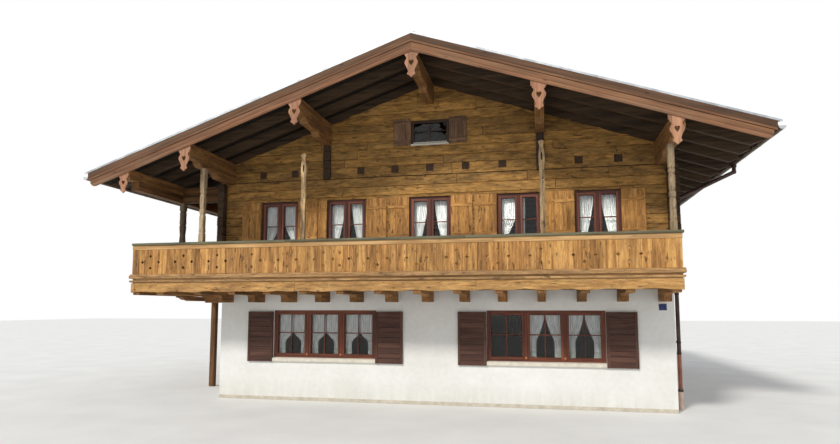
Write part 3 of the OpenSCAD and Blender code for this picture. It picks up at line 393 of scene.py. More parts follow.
# Woods: slot, pale, mid and dark tone, and what sets each apart from plain wood
WOODS = {
    "log": ("log_wood", (196, 146, 78), (168, 123, 61), (116, 83, 40), dict(
        cracks=0.35, weather=(122, 98, 58), weather_amount=0.5, spread=0.2, bump=0.6, marks=0.85,
        hewn_bump=2.0, mottle=0.34, short=3.2)),
    # Log ends: dark tones that paint the shade on the corner heads and cross ends
    "log_end_shaded": ("log_wood", (92, 68, 46), (70, 51, 34), (46, 33, 22), dict(
        knots=0.3, weather=(70, 58, 42), weather_amount=0.5, marks=0.4, hewn_bump=1.0)),
    "log_dark": ("dark_wood", (92, 68, 46), (68, 50, 34), (44, 32, 22), dict(knots=0.25, spread=0.35)),
    # Near-black strips: painted shadow in the gable joint and under the upper bargeboards
    "shadow_strip": ("dark_wood", (44, 34, 26), (30, 23, 17), (18, 14, 10), dict(knots=0.0)),
    "beam": ("dark_wood", (150, 106, 62), (116, 78, 42), (74, 48, 26), dict(knots=0.3, weather=(84, 66, 44))),
    "beam_y": ("dark_wood", (168, 122, 72), (134, 94, 52), (86, 60, 34), dict(
        order="yxz", knots=0.3, weather=(104, 78, 46), marks=0.6, hewn_bump=1.2, mottle=0.25)),
    # Soffit boards: colour darkened to paint the shade that falls under the eaves
    "soffit_shaded": ("dark_wood", (38, 28, 19), (26, 19, 12), (16, 11, 7), dict(
        order="yxz", knots=0.2, planks=(1, 0.16))),
    "rafter": ("dark_wood", (92, 71, 50), (70, 53, 37), (46, 34, 23), dict(order="xyz", knots=0.2)),
    "floor": ("floor_boards", (176, 134, 88), (150, 110, 68), (112, 80, 48), dict(
        order="xyz", planks=(1, 0.15))),
    "attic_head": ("dark_wood", (84, 58, 36), (62, 42, 26), (40, 26, 16), dict(order="yxz")),
    "barge": ("verge_wood", (114, 80, 56), (92, 64, 44), (64, 44, 31), dict(
        knots=0.25, weather=(96, 78, 58), weather_amount=0.4, spread=0.1)),
    "barge_low": ("verge_wood", (150, 104, 72), (126, 86, 58), (90, 60, 40), dict(
        knots=0.25, weather=(134, 108, 82), weather_amount=0.4, spread=0.1)),
    "barge_edge": ("verge_wood", (158, 112, 80), (136, 94, 66), (98, 67, 47), dict(
        knots=0.2, weather=(152, 128, 102), weather_amount=0.4, spread=0.1)),
    "pendant": ("verge_wood", (196, 146, 114), (170, 122, 92), (126, 88, 66), dict(
        knots=0.2, spread=0.12, weather=(146, 110, 88), weather_amount=0.5, marks=0.3)),
    "parapet": ("balcony_wood", (222, 172, 102), (184, 132, 72), (120, 80, 42), dict(
        cracks=0.75, weather=(140, 100, 56), weather_amount=0.5, spread=0.2, bump=0.6, marks=0.85,
        mottle=0.24)),
    "rail": ("balcony_wood", (226, 184, 128), (200, 156, 102), (154, 114, 70), dict(
        knots=0.3, weather=(170, 140, 104), spread=0.14, marks=0.3)),
    "ledge": ("balcony_wood", (192, 152, 104), (168, 129, 84), (128, 94, 58), dict(
        knots=0.25, weather=(150, 118, 84), spread=0.16, marks=0.8, mottle=0.3, short=1.8)),
    "cap": ("balcony_wood", (122, 118, 92), (98, 94, 72), (66, 62, 46), dict(
        knots=0.2, weather=(104, 108, 88), spread=0.12)),
    "fascia": ("balcony_wood", (214, 168, 106), (190, 142, 82), (142, 98, 54), dict(
        knots=0.4, weather=(150, 112, 70), weather_amount=0.6, spread=0.16, marks=0.9, mottle=0.3,
        short=1.8)),
    "post": ("post_wood", (196, 172, 138), (164, 140, 108), (112, 92, 68), dict(
        knots=0.3, cracks=0.8, weather=(122, 108, 90), weather_amount=0.6, spread=0.1, marks=0.6,
        mottle=0.25)),
    "slender": ("post_wood", (206, 178, 134), (168, 139, 100), (92, 70, 46), dict(
        knots=0.3, cracks=0.9, weather=(104, 88, 66), weather_amount=0.7, spread=0.1, marks=1.0,
        mottle=0.45, short=2.4)),
    "grey_post": ("post_wood", (150, 132, 108), (120, 102, 82), (80, 66, 52), dict(
        knots=0.3, cracks=0.8, weather=(96, 88, 78), weather_amount=0.6, spread=0.12, marks=0.4)),
    "joist": ("dark_wood", (184, 134, 80), (148, 104, 58), (98, 66, 36), dict(
        knots=0.3, spread=0.24, weather=(110, 80, 50), weather_amount=0.5, marks=0.4)),
    "deck": ("floor_boards", (126, 98, 66), (100, 76, 50), (66, 50, 34), dict(knots=0.3)),
    "frame": ("frame_wood", (134, 72, 46), (106, 54, 34), (70, 35, 23), dict(
        knots=0.0, cracks=0.2, rough=0.5, spread=0.2, bump=0.15)),
    # Upper windows: frames darkened as painted shade, sashes paler as painted light on them
    "upper_frame_shaded": ("frame_wood", (112, 58, 46), (86, 42, 34), (54, 26, 22), dict(
        knots=0.0, cracks=0.2, rough=0.5, spread=0.2, bump=0.15)),
    "upper_sash_lit": ("frame_wood", (150, 90, 66), (122, 68, 50), (80, 42, 32), dict(
        knots=0.0, cracks=0.2, rough=0.5, spread=0.2, bump=0.15)),
    "attic_frame": ("frame_wood", (74, 52, 40), (54, 37, 28), (34, 23, 18), dict(knots=0.0, rough=0.5)),
    "shutter": ("shutter_wood", (222, 166, 94), (192, 137, 72), (138, 94, 48), dict(
        knots=0.6, spread=0.12, bump=0.4, weather=(150, 108, 60), marks=0.9, mottle=0.28, short=1.6)),
    "ground_shutter": ("shutter_wood", (98, 66, 54), (78, 50, 41), (58, 37, 30), dict(
        knots=0.1, weather=(104, 76, 64), spread=0.1, bump=0.3)),
    "attic_shutter": ("shutter_wood", (138, 106, 78), (106, 79, 57), (70, 51, 36), dict(
        knots=0.3, spread=0.2, marks=0.4, mottle=0.2)),
    "door": ("frame_wood", (118, 78, 50), (92, 60, 38), (60, 38, 24), dict(
        order="zxy", knots=0.2, rough=0.5, planks=(2, 0.14))),
    "knob": ("frame_wood", (206, 140, 96), (176, 110, 72), (128, 74, 46), dict(knots=0.0, rough=0.5)),
}
# Every look's material and palette slot; the curtains take no slot
LOOKS = {name: (slot, wood(name + "_mat", pale, mid, dark, **more))
         for name, (slot, pale, mid, dark, more) in WOODS.items()}
LOOKS.update({
    "plaster": ("plaster", plaster_mat()),
    "base": ("render_base", stone_mat("base_mat", (178, 170, 154), (218, 210, 194))),
    "slab": ("render_base", stone_mat("slab_mat", (112, 106, 98), (142, 136, 126), 4.0)),
    "sill": ("render_base", stone_mat("sill_mat", (206, 200, 184), (234, 228, 214), 9.0)),
    "tile": ("roof_tile", tile_mat()),
    "gutter": ("brown_metal", metal_mat("gutter_mat", (72, 60, 46), (104, 88, 68), 0.45, 0.5)),
    "sheet": ("sheet_metal", metal_mat("sheet_mat", (160, 165, 170), (196, 201, 206), 0.4, 0.6)),
    "pipe": ("brown_metal", pipe_mat()),
    "iron": ("brown_metal", metal_mat("iron_mat", (40, 36, 34), (66, 60, 54), 0.5, 0.6, 12.0)),
    "glass": ("pane", glass_mat()),
    "net": (None, cloth_mat()),
    "plate": ("plate_enamel", enamel_mat("plate_mat", (22, 34, 84), (34, 50, 110), 0.25)),
    "plate_rim": ("plate_enamel", enamel_mat("plate_rim_mat", (214, 216, 214), (236, 238, 236), 0.3)),
})
BOX_FACES = [(0, 1, 3, 2), (4, 6, 7, 5), (0, 4, 5, 1), (2, 3, 7, 6), (0, 2, 6, 4), (1, 5, 7, 3)]


class Piece:
    """One visible piece. Each part of it has its own grain direction and tone."""

    def __init__(self, name):
        self.name, self.pts, self.faces, self.grain, self.tone = name, [], [], [], []

    def add(self, pts, faces, grain, tone=None, shift=None):
        g = Vector(grain).normalized()
        a = (Vector((0, 0, 1)).cross(g) if abs(g.z) < 0.9 else Vector((1, 0, 0)).cross(g)).normalized()
        b = g.cross(a)
        r = shift or [rng.uniform(0, 40) for _ in range(3)]
        t = rng.random() if tone is None else tone
        k = len(self.pts)
        for p in pts:
            self.pts.append(p)
            self.grain.append((p.dot(g) + r[0], p.dot(a) + r[1], p.dot(b) + r[2]))
            self.tone.append(t)
        self.faces += [tuple(i + k for i in f) for f in faces]

    def box(self, plane, a, d, z, grain, tone=None):
        pts = [plane.at(a[i], d[j], z[k]) for i in (0, 1) for j in (0, 1) for k in (0, 1)]
        self.add(pts, BOX_FACES, plane.axis(grain), tone)

    def prism(self, plane, outline, t, axes, grain, holes=()):
        """Extrudes an outline from t[0] to t[1]; axes az draws it on the wall, dz across it."""
        loops = [outline] + list(holes)
        flat = [pq for loop in loops for pq in loop]
        n = len(flat)
        pts = [plane.at(p, r, q) if axes == "az" else plane.at(r, p, q) for r in t for p, q in flat]
        if holes:
            caps = tessellate_polygon([[Vector((p, q, 0)) for p, q in loop] for loop in loops])
        else:
            caps = [tuple(range(n))]
        faces = [tuple(c) for c in caps] + [tuple(reversed([i + n for i in c])) for c in caps]
        k = 0
        for loop in loops:
            m = len(loop)
            faces += [(k + i, k + (i + 1) % m, n + k + (i + 1) % m, n + k + i) for i in range(m)]
            k += m
        self.add(pts, faces, plane.axis(grain))

    def loft(self, rings, grain, tone=None, shift=None):
        """Skin over closed rings of points, with a cap at both ends."""
        n = len(rings[0])
        faces = [(i * n + j, i * n + (j + 1) % n, (i + 1) * n + (j + 1) % n, (i + 1) * n + j)
                 for i in range(len(rings) - 1) for j in range(n)]
        faces += [tuple(reversed(range(n))), tuple((len(rings) - 1) * n + j for j in range(n))]
        self.add([p for ring in rings for p in ring], faces, grain, tone, shift)

    def turned(self, at, rows, sides, axis=(0, 0, 1)):
        """Turned piece along axis. rows are (distance, radius) or (distance, radius, squareness)."""
        ax = Vector(axis).normalized()
        u = (Vector((1, 0, 0)) if abs(ax.x) < 0.9 else Vector((0, 1, 0)))
        u = (u - ax * u.dot(ax)).normalized()
        v = ax.cross(u)
        rings = []
        for h, r, sq in ((*row, 0.0)[:3] for row in rows):
            ring = []
            for i in range(sides):
                t = 2 * math.pi * (i + 0.5) / sides
                c, s = math.cos(t), math.sin(t)
                e = 1 / max(abs(c), abs(s)) * sq + (1 - sq)
                ring.append(Vector(at) + ax * h + u * (c * r * e) + v * (s * r * e))
            rings.append(ring)
        self.loft(rings, ax)

    def done(self, look, replaces=(), bevel=0.0, segments=1, smooth=False, angle=35.0):
        slot, material = LOOKS[look]
        me = bpy.data.meshes.new(self.name)
        me.from_pydata(self.pts, [], self.faces)
        me.update()
        grain = me.attributes.new("grain", "FLOAT_VECTOR", "POINT")
        grain.data.foreach_set("vector", [c for v in self.grain for c in v])
        me.attributes.new("tone", "FLOAT", "POINT").data.foreach_set("value", self.tone)
        bm = bmesh.new()
        bm.from_mesh(me)
        bmesh.ops.recalc_face_normals(bm, faces=bm.faces)
        bm.to_mesh(me)
        bm.free()
        ob = bpy.data.objects.new(self.name, me)
        bpy.context.scene.collection.objects.link(ob)
        me.materials.append(material)
        if smooth:
            me.shade_smooth()
            me.set_sharp_from_angle(angle=math.radians(angle))
        if bevel:
            mod = ob.modifiers.new("edges", "BEVEL")
            mod.width, mod.segments, mod.limit_method = bevel, segments, "ANGLE"
            mod.angle_limit = math.radians(angle)
            mod.use_clamp_overlap = True
        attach(ob, "root")
        if replaces:
            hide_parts(*replaces)
        return ob


# Heights of the joints between the log courses
COURSES = [2.70, 2.88, 3.06, 3.27, 3.50, 3.72, 3.95, 4.17, 4.40, 4.62, 4.86, 5.07, 5.30, 5.542,
           5.82, 6.02, 6.25, 6.46, 6.69, 6.91, 7.14, 7.38, 7.62, 7.85]
LOG_HALF_Y, GABLE_TOP = 5.83, 7.85
# Depth of the joint between wall and gable, and half its height
REBATE, REBATE_H = 0.045, 0.011
# Chamfer of a log's edges, its largest share of a low log, and the chamfer where an opening cuts
CHAMFER, CHAMFER_SHARE, CUT_CHAMFER = 0.011, 0.3, 0.002
# Steps along a log, and how an end that butts another log is set back and rounded
LOG_STATION, BUTT_GAP, BUTT_ROUND, BUTT_SINK = 0.28, 0.002, 0.010, 0.012


def wobble(plane, a, z):
    """A groove's small wander along the wall."""
    p = plane.at(a, 0, z)
    return 0.007 * noise.noise(Vector((p.x * 0.7, p.y * 0.7, z * 9.1)))


def hewn(plane, a, z, k):
    """Depth of the axe's facets on a log's face."""
    p = plane.at(a, 0, z)
    return 0.006 * noise.noise(Vector((p.x * 1.9 + k, p.y * 1.9, z * 5.0))) + 0.0015


def log_run(piece, plane, a0, a1, z0, z1, course, top, cut_lo, cut_hi, tone, shift, ends):
    """One log between two openings or corners, its outer face hewn and its edges a little uneven.
    cut_lo and cut_hi say whether an opening cuts it, ends which of its ends butts another log."""
    stations = max(2, int(math.ceil((a1 - a0) / LOG_STATION)) + 1)
    places = [(a0 + (a1 - a0) * i / (stations - 1), 0.0) for i in range(stations)]
    if ends[0]:
        places = [(a0 + BUTT_GAP, BUTT_SINK), (a0 + BUTT_ROUND, 0.0)] + places[1:]
    if ends[1]:
        places = places[:-1] + [(a1 - BUTT_ROUND, 0.0), (a1 - BUTT_GAP, BUTT_SINK)]
    deep_lo = abs(z0 - GABLE_Z) < 0.001 and not cut_lo
    deep_hi = abs(z1 - GABLE_Z) < 0.001 and not cut_hi
    rings = []
    for a, inset in places:
        lo = z0 + (0 if cut_lo or deep_lo else wobble(plane, a, z0))
        hi = z1 + (0 if cut_hi or deep_hi else wobble(plane, a, z1))
        if top is not None:
            hi = min(hi, top(a))
        hi = max(hi, lo + 0.016)
        h = hi - lo
        cl, ch = (CUT_CHAMFER if cut else min(CHAMFER, h * CHAMFER_SHARE) for cut in (cut_lo, cut_hi))

        def face(z):
            return hewn(plane, a, z, course) + inset

        pts = [(LOG_T, lo)]
        if deep_lo:
            pts += [(REBATE, lo), (REBATE, lo + REBATE_H), (face(lo), lo + REBATE_H)]
        else:
            pts += [(cl * 2.0, lo), (face(lo + cl), lo + cl)]
        pts += [(face(lo + q * h) - 0.004 * math.sin(math.pi * q), lo + q * h) for q in (0.3, 0.55, 0.8)]
        if deep_hi:
            pts += [(face(hi), hi - REBATE_H), (REBATE, hi - REBATE_H), (REBATE, hi)]
        else:
            pts += [(face(hi - ch), hi - ch), (ch * 2.0, hi)]
        pts.append((LOG_T, hi))
        rings.append([plane.at(a, max(d, 0.0), z) for d, z in pts])
    piece.loft(rings, plane.u, tone, shift=shift)


def log_wall(name, plane, half, z_lo, z_hi, openings, node, top=None, reach=None):
    """Courses of logs, each of one to three lengths, cut round the openings. half is the wall's
    half length, reach(z) the half length under the roof and top(a) the roof's underside."""
    piece = Piece(name)
    wr = random.Random(name)
    for course, (z0, z1) in enumerate(zip(COURSES, COURSES[1:])):
        z0c, z1c = max(z0, z_lo), min(z1, z_hi)
        if z1c - z0c < 0.02:
            continue
        lo_a, hi_a = -half, half
        bends = set()
        if reach is not None:
            end = reach(z0c)
            lo_a, hi_a = max(lo_a, -end), min(hi_a, end)
            bends = {v for v in (-reach(z1c), reach(z1c), 0.0) if lo_a < v < hi_a}
        if hi_a - lo_a < 0.1:
            continue
        here = [o for o in openings if o[2] < z1c - 0.004 and o[3] > z0c + 0.004]
        butts = []
        for _ in range(1 + (hi_a - lo_a > 5) + (hi_a - lo_a > 9 and wr.random() < 0.6)):
            v = wr.uniform(lo_a + 0.8, hi_a - 0.8) if hi_a - lo_a > 2.2 else None
            if v is not None and all(abs(v - b) > 0.9 for b in butts) and not any(
                    o[0] - 0.15 < v < o[1] + 0.15 for o in here):
                butts.append(v)
        butts.sort()
        logs = [(wr.random(), [wr.uniform(0, 40) for _ in range(3)]) for _ in range(len(butts) + 1)]
        sides = {min(max(v, lo_a), hi_a) for o in here for v in o[:2]}
        marks = sorted({lo_a, hi_a} | sides | bends | set(butts))
        for a0, a1 in zip(marks, marks[1:]):
            if a1 - a0 < 0.006:
                continue
            mid = (a0 + a1) / 2
            tone, shift = logs[sum(1 for v in butts if v < mid)]
            free = [(z0c, z1c, False, False)]
            for _, _, low, high in (o for o in here if o[0] < mid < o[1]):
                left = []
                for f0, f1, c0, c1 in free:
                    if low > f0 + 0.004:
                        left.append((f0, min(f1, low), c0, low < f1))
                    if high < f1 - 0.004:
                        left.append((max(f0, high), f1, high > f0, c1))
                free = left
            for f0, f1, c0, c1 in free:
                if f1 - f0 > 0.01:
                    log_run(piece, plane, a0, a1, f0, f1, course, top, c0, c1, tone, shift,
                            (a0 in butts, a1 in butts))
    piece.done("log", [node])


def window_hole(a, size):
    w, h, top = size
    return (a - w / 2 - 0.002, a + w / 2 + 0.002, top - h, top + 0.002)


def double_holes(xs):
    return [window_hole(a, DOUBLE) for a in xs]


def gable_reach(z):
    return (APEX_Z - ROOF_DEPTH - z) / SLOPE


gallery_door = (1.5 - 0.492, 1.5 + 0.492, FLOOR_Z, 5.003)
joist_as = [k * 0.885 for k in range(-5, 6) if abs(abs(k * 0.885) - MID_PURLIN) > 0.18]
gable_holes = [(a - 0.093, a + 0.093, 5.637, 5.82) for a in joist_as] + [window_hole(0, ATTIC)]
for name, plane, half, top, holes in (
    ("front", FRONT, LOG_X, GABLE_Z, double_holes(DOUBLES)),
    ("back", BACK, LOG_X, GABLE_Z, double_holes(DOUBLES)),
    ("right", RIGHT_LOG, LOG_HALF_Y, SIDE_TOP, double_holes(RIGHT_DOUBLES)),
    ("left", LEFT_LOG, LOG_HALF_Y, SIDE_TOP, double_holes(LEFT_DOUBLES) + [gallery_door]),
):
    log_wall(name + "_logs", plane, half, MASONRY_TOP, top, holes, name + "_log_wall")
for name, plane in (("front_gable", FRONT), ("back_gable", BACK)):
    log_wall(name + "_logs", plane, LOG_X, GABLE_Z, GABLE_TOP, gable_holes, name, rafter_bottom, gable_reach)

# Near-black strip at the back of the joint between wall and gable: painted shade in the groove
joint = Piece("gable_shadow_strip")
for plane in (FRONT, BACK):
    joint.box(plane, (-5.59, 5.59), (0.026, 0.046), about(GABLE_Z, 0.0105), "a")
joint.done("shadow_strip")

# Log heads: crossed corners, the cross ends beyond them and the partition heads on the gables
heads, dark_heads = Piece("corner_log_ends"), Piece("partition_log_ends")
for plane in (FRONT, BACK):
    for s in (-1, 1):
        a = s * (LOG_X - LOG_T / 2)
        for z0, z1 in zip(COURSES[1:], COURSES[2:]):
            top = min(z1, 5.506)
            if top - z0 < 0.03 or z0 > 5.5:
                continue
            out = 0.2 - rng.uniform(0.0, 0.02)
            w = LOG_T / 2 - 0.003
            outline = [(a + i * e, z) for i, e, z in (
                (-1, w, z0 + 0.006), (-1, w - 0.012, z0), (1, w - 0.012, z0), (1, w, z0 + 0.006),
                (1, w, top - 0.018), (1, w - 0.014, top - 0.004), (-1, w - 0.014, top - 0.004),
                (-1, w, top - 0.018))]
            heads.prism(plane, outline, (-out, 0.0), "az", "d")
        a = s * MID_PURLIN
        for z0, z1 in zip(COURSES, COURSES[1:]):
            lo, top = max(z0, GABLE_Z), min(z1, 6.416)
            if top - lo < 0.03:
                continue
            out = 0.07 - rng.uniform(0.0, 0.014)
            dark_heads.box(plane, about(a, 0.092), (-out, 0.0), (lo + 0.004, top - 0.004), "d",
                           rng.uniform(0.0, 0.7))
        for z0, z1 in zip(COURSES, COURSES[1:]):
            lo, top = max(z0, FLOOR_Z), min(z1, GABLE_Z)
            if top - lo > 0.03:
                far = s * (LOG_END_X - rng.uniform(0.0, 0.008))
                heads.box(plane, sorted((s * LOG_X, far)), (0.0, LOG_T), (lo + 0.003, top - 0.003), "a")
# Corner heads and cross ends in the log-end colour, darkened as painted shade
heads.done("log_end_shaded", ["log_heads"], bevel=0.006)
dark_heads.done("log_dark", bevel=0.006)

# CAD nodes that show as they are
for node, look in {
    "plinth": "base", "ground_floor": "slab", "front_wall": "plaster", "right_wall": "plaster",
    "back_wall": "plaster", "left_wall": "plaster", "upper_floor": "floor", "attic_joists": "attic_head",
    "attic_floor": "floor", "purlins": "beam_y", "corbels": "beam_y", "rafters": "rafter",
    # Roof boards: soffit colour darkened as painted shade
    "roof_boards_left": "soffit_shaded", "roof_boards_right": "soffit_shaded", "verge_flashing": "sheet",
    "gutters": "gutter", "downpipes": "pipe", "window_glass": "glass", "doors": "door",
}.items():
    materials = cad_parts[node].data.materials
    materials.clear()
    materials.append(LOOKS[look][1])

# Roof tiles: how many across, how far apart up the slope, how long and their wave
TILES_ACROSS, TILE_E, TILE_L = 51, 0.33, 0.40
TILE_W = (COVER_Y1 - COVER_Y0) / TILES_ACROSS
TILE_PROFILE = [(0.0, 0.0), (0.06, 0.012), (0.13, 0.021), (0.2, 0.012), (0.27, 0.0), (0.5, -0.004),
                (0.75, -0.004), (0.93, 0.0), (1.0, 0.0)]


def roof_at(s, t, y, h):
    """Point on side s of the roof, t down the slope from the ridge and h over the covering."""
    return Vector((s * (t * ROOF_COS + h * ROOF_SIN), y, APEX_Z - t * ROOF_SIN + h * ROOF_COS))


for s, side in ((-1, "left"), (1, "right")):
    tiles = Piece("tiles_" + side)
    length = EAVE[s] / ROOF_COS + 0.03
    for i in range(int(math.ceil(length / TILE_E))):
        t1 = length - i * TILE_E
        t0 = max(t1 - TILE_L, 0.03)
        for j in range(TILES_ACROSS):
            y0 = COVER_Y0 + j * TILE_W
            lift = rng.uniform(-0.0015, 0.0015)
            slip = rng.uniform(-0.004, 0.004)
            tone = rng.random()
            pts = []
            for t, drop, base in ((t1 + slip, 0.018, 0.0), (t1 + slip, 0.0, 0.0), (t0, 0.0, 1.0)):
                h0 = -0.024 + lift - 0.03 * base * (t1 - t0) / TILE_L
                pts += [roof_at(s, t, y0 + q * TILE_W * 1.02, h0 + p - drop) for q, p in TILE_PROFILE]
            n = len(TILE_PROFILE)
            faces = [(r * n + c, r * n + c + 1, (r + 1) * n + c + 1, (r + 1) * n + c)
                     for r in range(2) for c in range(n - 1)]
            if s > 0:
                faces = [tuple(reversed(f)) for f in faces]
            tiles.add(pts, faces, (1, 0, 0), tone)
    tiles.done("tile", ["roof_tiles_" + side], smooth=True, angle=40)

battens = Piece("eave_boards")
for s in (-1, 1):
    length = EAVE[s] / ROOF_COS
    for ts, hs in (((length - 0.05, length - 0.004), (-0.094, -0.045)),
                   ((length - 0.42, length - 0.37), (-0.094, -0.06))):
        pts = [roof_at(s, t, y, h) for t in ts for y in (COVER_Y0 + 0.002, COVER_Y1 - 0.002) for h in hs]
        battens.add(pts, BOX_FACES, (0, 1, 0))
battens.done("beam")

ridge = Piece("ridge_caps")
CAPS, CAP_Y0, CAP_Y1, CAP_Z = 42, -8.0, 7.13, 8.1546
step = (CAP_Y1 - CAP_Y0) / CAPS
for i in range(CAPS):
    y0, y1 = CAP_Y0 + i * step, CAP_Y0 + (i + 1) * step + (0.02 if i < CAPS - 1 else 0.0)
    rings = []
    for y, outer, inner in ((y0, 0.112, 0.096), (y0 + 0.035, 0.112, 0.096), (y0 + 0.045, 0.106, 0.092),
                            (y1, 0.102, 0.088)):
        half = arc(0, 0, outer, outer, 0, math.pi, 14) + arc(0, 0, inner, inner, 0, math.pi, 14)[::-1]
        rings.append([Vector((p, y, CAP_Z + q)) for p, q in half])
    ridge.loft(rings, (0, 1, 0))
ridge.done("tile", ["ridge_tiles"], smooth=True, angle=40)


def barge_board(piece, s, x_end, y0, y1, top, z_lo, z_hi, moulding, nose, full):
    """Board up the slope from the ridge to x_end, from z_hi to z_lo below top. y0 is its outer
    face. With a nose, its lower corner at the eave is rounded. full is the whole board's height."""
    places = [(x_end * q, 1.0) for q in (0.0, 0.23, 0.46)]
    if nose:
        places.append((x_end - nose, 1.0))
        for k in range(1, 5):
            t = math.radians(90 - 22.5 * k)
            places.append((x_end - nose * (1 - math.cos(t)), 1 - 0.7 * (1 - math.sin(t))))
    else:
        places.append((x_end, 1.0))
    k = y1 - y0
    rings = []
    for x, share in places:
        z = APEX_Z - x * SLOPE - top
        hi = min(z_hi, full * share - 0.004)
        lo = max(min(z_lo, full * share), hi + 0.003)
        m = min(moulding, (lo - hi) * 0.7)
        pts = [(y0, z - hi), (y0, z - lo + m), (y0 + k * 0.2, z - lo + m * 0.85),
               (y0 + k * 0.2, z - lo + m * 0.3), (y0 + k * 0.45, z - lo), (y1, z - lo), (y1, z - hi)]
        rings.append([Vector((s * x, y, z)) for y, z in pts])
    piece.loft(rings, (s * ROOF_COS, 0, -ROOF_SIN))


# Bargeboards: an upper board, a near-black strip of painted shadow under it at the joint, and a set-back
# lower board, both boards ending in a paler moulding. Heights are measured upright.
BARGE_H, LOWER_H = 0.212, 0.203
barge, edge, gap, lower = (Piece(name) for name in (
    "barge_boards", "barge_mouldings", "barge_shadow_strips", "lower_barge_boards"))
for s in (-1, 1):
    for e, verge in ((1, VERGE_Y0), (-1, VERGE_Y1)):
        # Piece, back from the eave, face and back behind the verge, top, lower and upper edge,
        # moulding, nose and whole height
        for piece, back, y0, y1, top, z_lo, z_hi, moulding, nose, full in (
            (barge, 0.02, 0.0, 0.04, 0.0, 0.176, 0.0, 0.0, 0.0, BARGE_H),
            (edge, 0.02, 0.006, 0.04, 0.0, BARGE_H, 0.1765, 0.022, 0.0, BARGE_H),
            (gap, 0.085, 0.034, 0.06, BARGE_H + 0.0002, 0.016, 0.0, 0.0, 0.0, LOWER_H),
            (lower, 0.08, 0.02, 0.06, BARGE_H + 0.0002, 0.122, 0.016, 0.0, 0.14, LOWER_H),
            (edge, 0.08, 0.026, 0.06, BARGE_H + 0.0002, LOWER_H, 0.1225, 0.03, 0.14, LOWER_H),
        ):
            barge_board(piece, s, EAVE[s] - back, verge + e * y0, verge + e * y1, top, z_lo, z_hi,
                        moulding, nose, full)
barge.done("barge", ["bargeboards"], bevel=0.003)
lower.done("barge_low", bevel=0.003)
edge.done("barge_edge", bevel=0.003)
# Near-black strips of painted shadow under the upper boards
gap.done("shadow_strip")


def smooth_side(keys, steps):
    """Smooth curve through the keys, which are (width share, drop share)."""
    out = []
    for i in range(len(keys) - 1):
        p0, p1, p2, p3 = keys[max(i - 1, 0)], keys[i], keys[i + 1], keys[min(i + 2, len(keys) - 1)]
        for k in range(steps):
            t = k / steps
            out.append(tuple(
                0.5 * ((2 * p1[c]) + (-p0[c] + p2[c]) * t
                       + (2 * p0[c] - 5 * p1[c] + 4 * p2[c] - p3[c]) * t * t
                       + (-p0[c] + 3 * p1[c] - 3 * p2[c] + p3[c]) * t ** 3) for c in (0, 1)))
    return out + [keys[-1]]


# Pendants: carved boards with a heart-shaped hole, each of its own size and sideways shift
PENDANT_HALF, PENDANT_DROP, HEART_TIP = 0.16, 0.555, 0.565
PENDANT_SIDE = (
    [(1.0, 0.0), (1.0, 0.085), (0.90, 0.105)]
    + smooth_side([(0.90, 0.105), (0.82, 0.16), (0.63, 0.245), (0.71, 0.315)], 4)[1:]
    + smooth_side([(0.71, 0.315), (0.855, 0.40), (0.83, 0.49), (0.60, 0.62), (0.43, 0.74),
                   (0.43, 0.79)], 5)[1:]
    + [(0.54, 0.855), (0.52, 0.88)]
    + smooth_side([(0.52, 0.88), (0.27, 0.925), (0.0, 1.0)], 4)[1:])
HEART = smooth_side([(0.0, 0.365), (0.16, 0.33), (0.31, 0.375), (0.27, 0.45), (0.0, HEART_TIP)], 4)[:-1]
pendants = Piece("pendant_boards")
for x, size in ((-GALLERY_PURLIN - 0.045, 0.8), (-WALL_PURLIN - 0.035, 0.96), (-MID_PURLIN, 0.97),
                (0.0, 1.04), (MID_PURLIN, 1.03), (WALL_PURLIN - 0.055, 1.0)):
    low = roof_z(x) - BARGE_H - LOWER_H
    half, drop, upper = PENDANT_HALF * size, PENDANT_DROP * size, 0.05

    def outline_side(s, shares):
        return [(x + s * half * w, low - drop * v) for w, v in shares]

    if x == 0:
        eaves = low + upper - half * SLOPE
        head = [(x - half, eaves), (0.0, low + upper), (x + half, eaves)]
    else:
        k = SLOPE if x < 0 else -SLOPE
        head = [(x - half, low + upper - half * k), (x + half, low + upper + half * k)]
    outline = head + outline_side(1, PENDANT_SIDE) + outline_side(-1, PENDANT_SIDE[:-1])[::-1]
    heart = outline_side(1, HEART) + [(x, low - drop * HEART_TIP)] + outline_side(-1, HEART[:0:-1])
    for t in ((-8.11, -8.075), (7.205, 7.24)):
        pendants.prism(WORLD, outline, t, "az", "z", holes=[heart])
pendants.done("pendant", ["pendants"], bevel=0.004)

# Straps and end caps of the gutters
GUTTER_IN, STRAP_R, STRAP_RI = 0.0683, 0.0715, 0.0685
gutters = [(s, s * (EAVE[s] + GUTTER_IN), roof_z(EAVE[s]) - 0.1204) for s in (-1, 1)]
straps = Piece("gutter_straps")
for s, gx, gz in gutters:
    outline = arc(gx, gz, STRAP_R, STRAP_R, math.pi, math.pi, 12)
    outline += arc(gx, gz, STRAP_RI, STRAP_RI, math.pi, math.pi, 12)[::-1]
    e = gx - s * STRAP_R
    for k in range(17):
        y = COVER_Y0 + 0.35 + k * 0.92
        straps.prism(WORLD, outline, about(y, 0.014), "az", "d")
        straps.box(WORLD, sorted((e, e - s * 0.12)), about(y, 0.014), (gz - 0.004, gz + 0.002), "a")
straps.done("iron")
ends = Piece("gutter_ends")
for s, gx, gz in gutters:
    for y0, y1 in ((COVER_Y0 - 0.005, COVER_Y0 + 0.003), (COVER_Y1 - 0.003, COVER_Y1 + 0.005)):
        ends.prism(WORLD, arc(gx, gz, 0.0675, 0.0675, math.pi, math.pi, 16), (y0, y1), "az", "d")
ends.done("sheet", bevel=0.002)

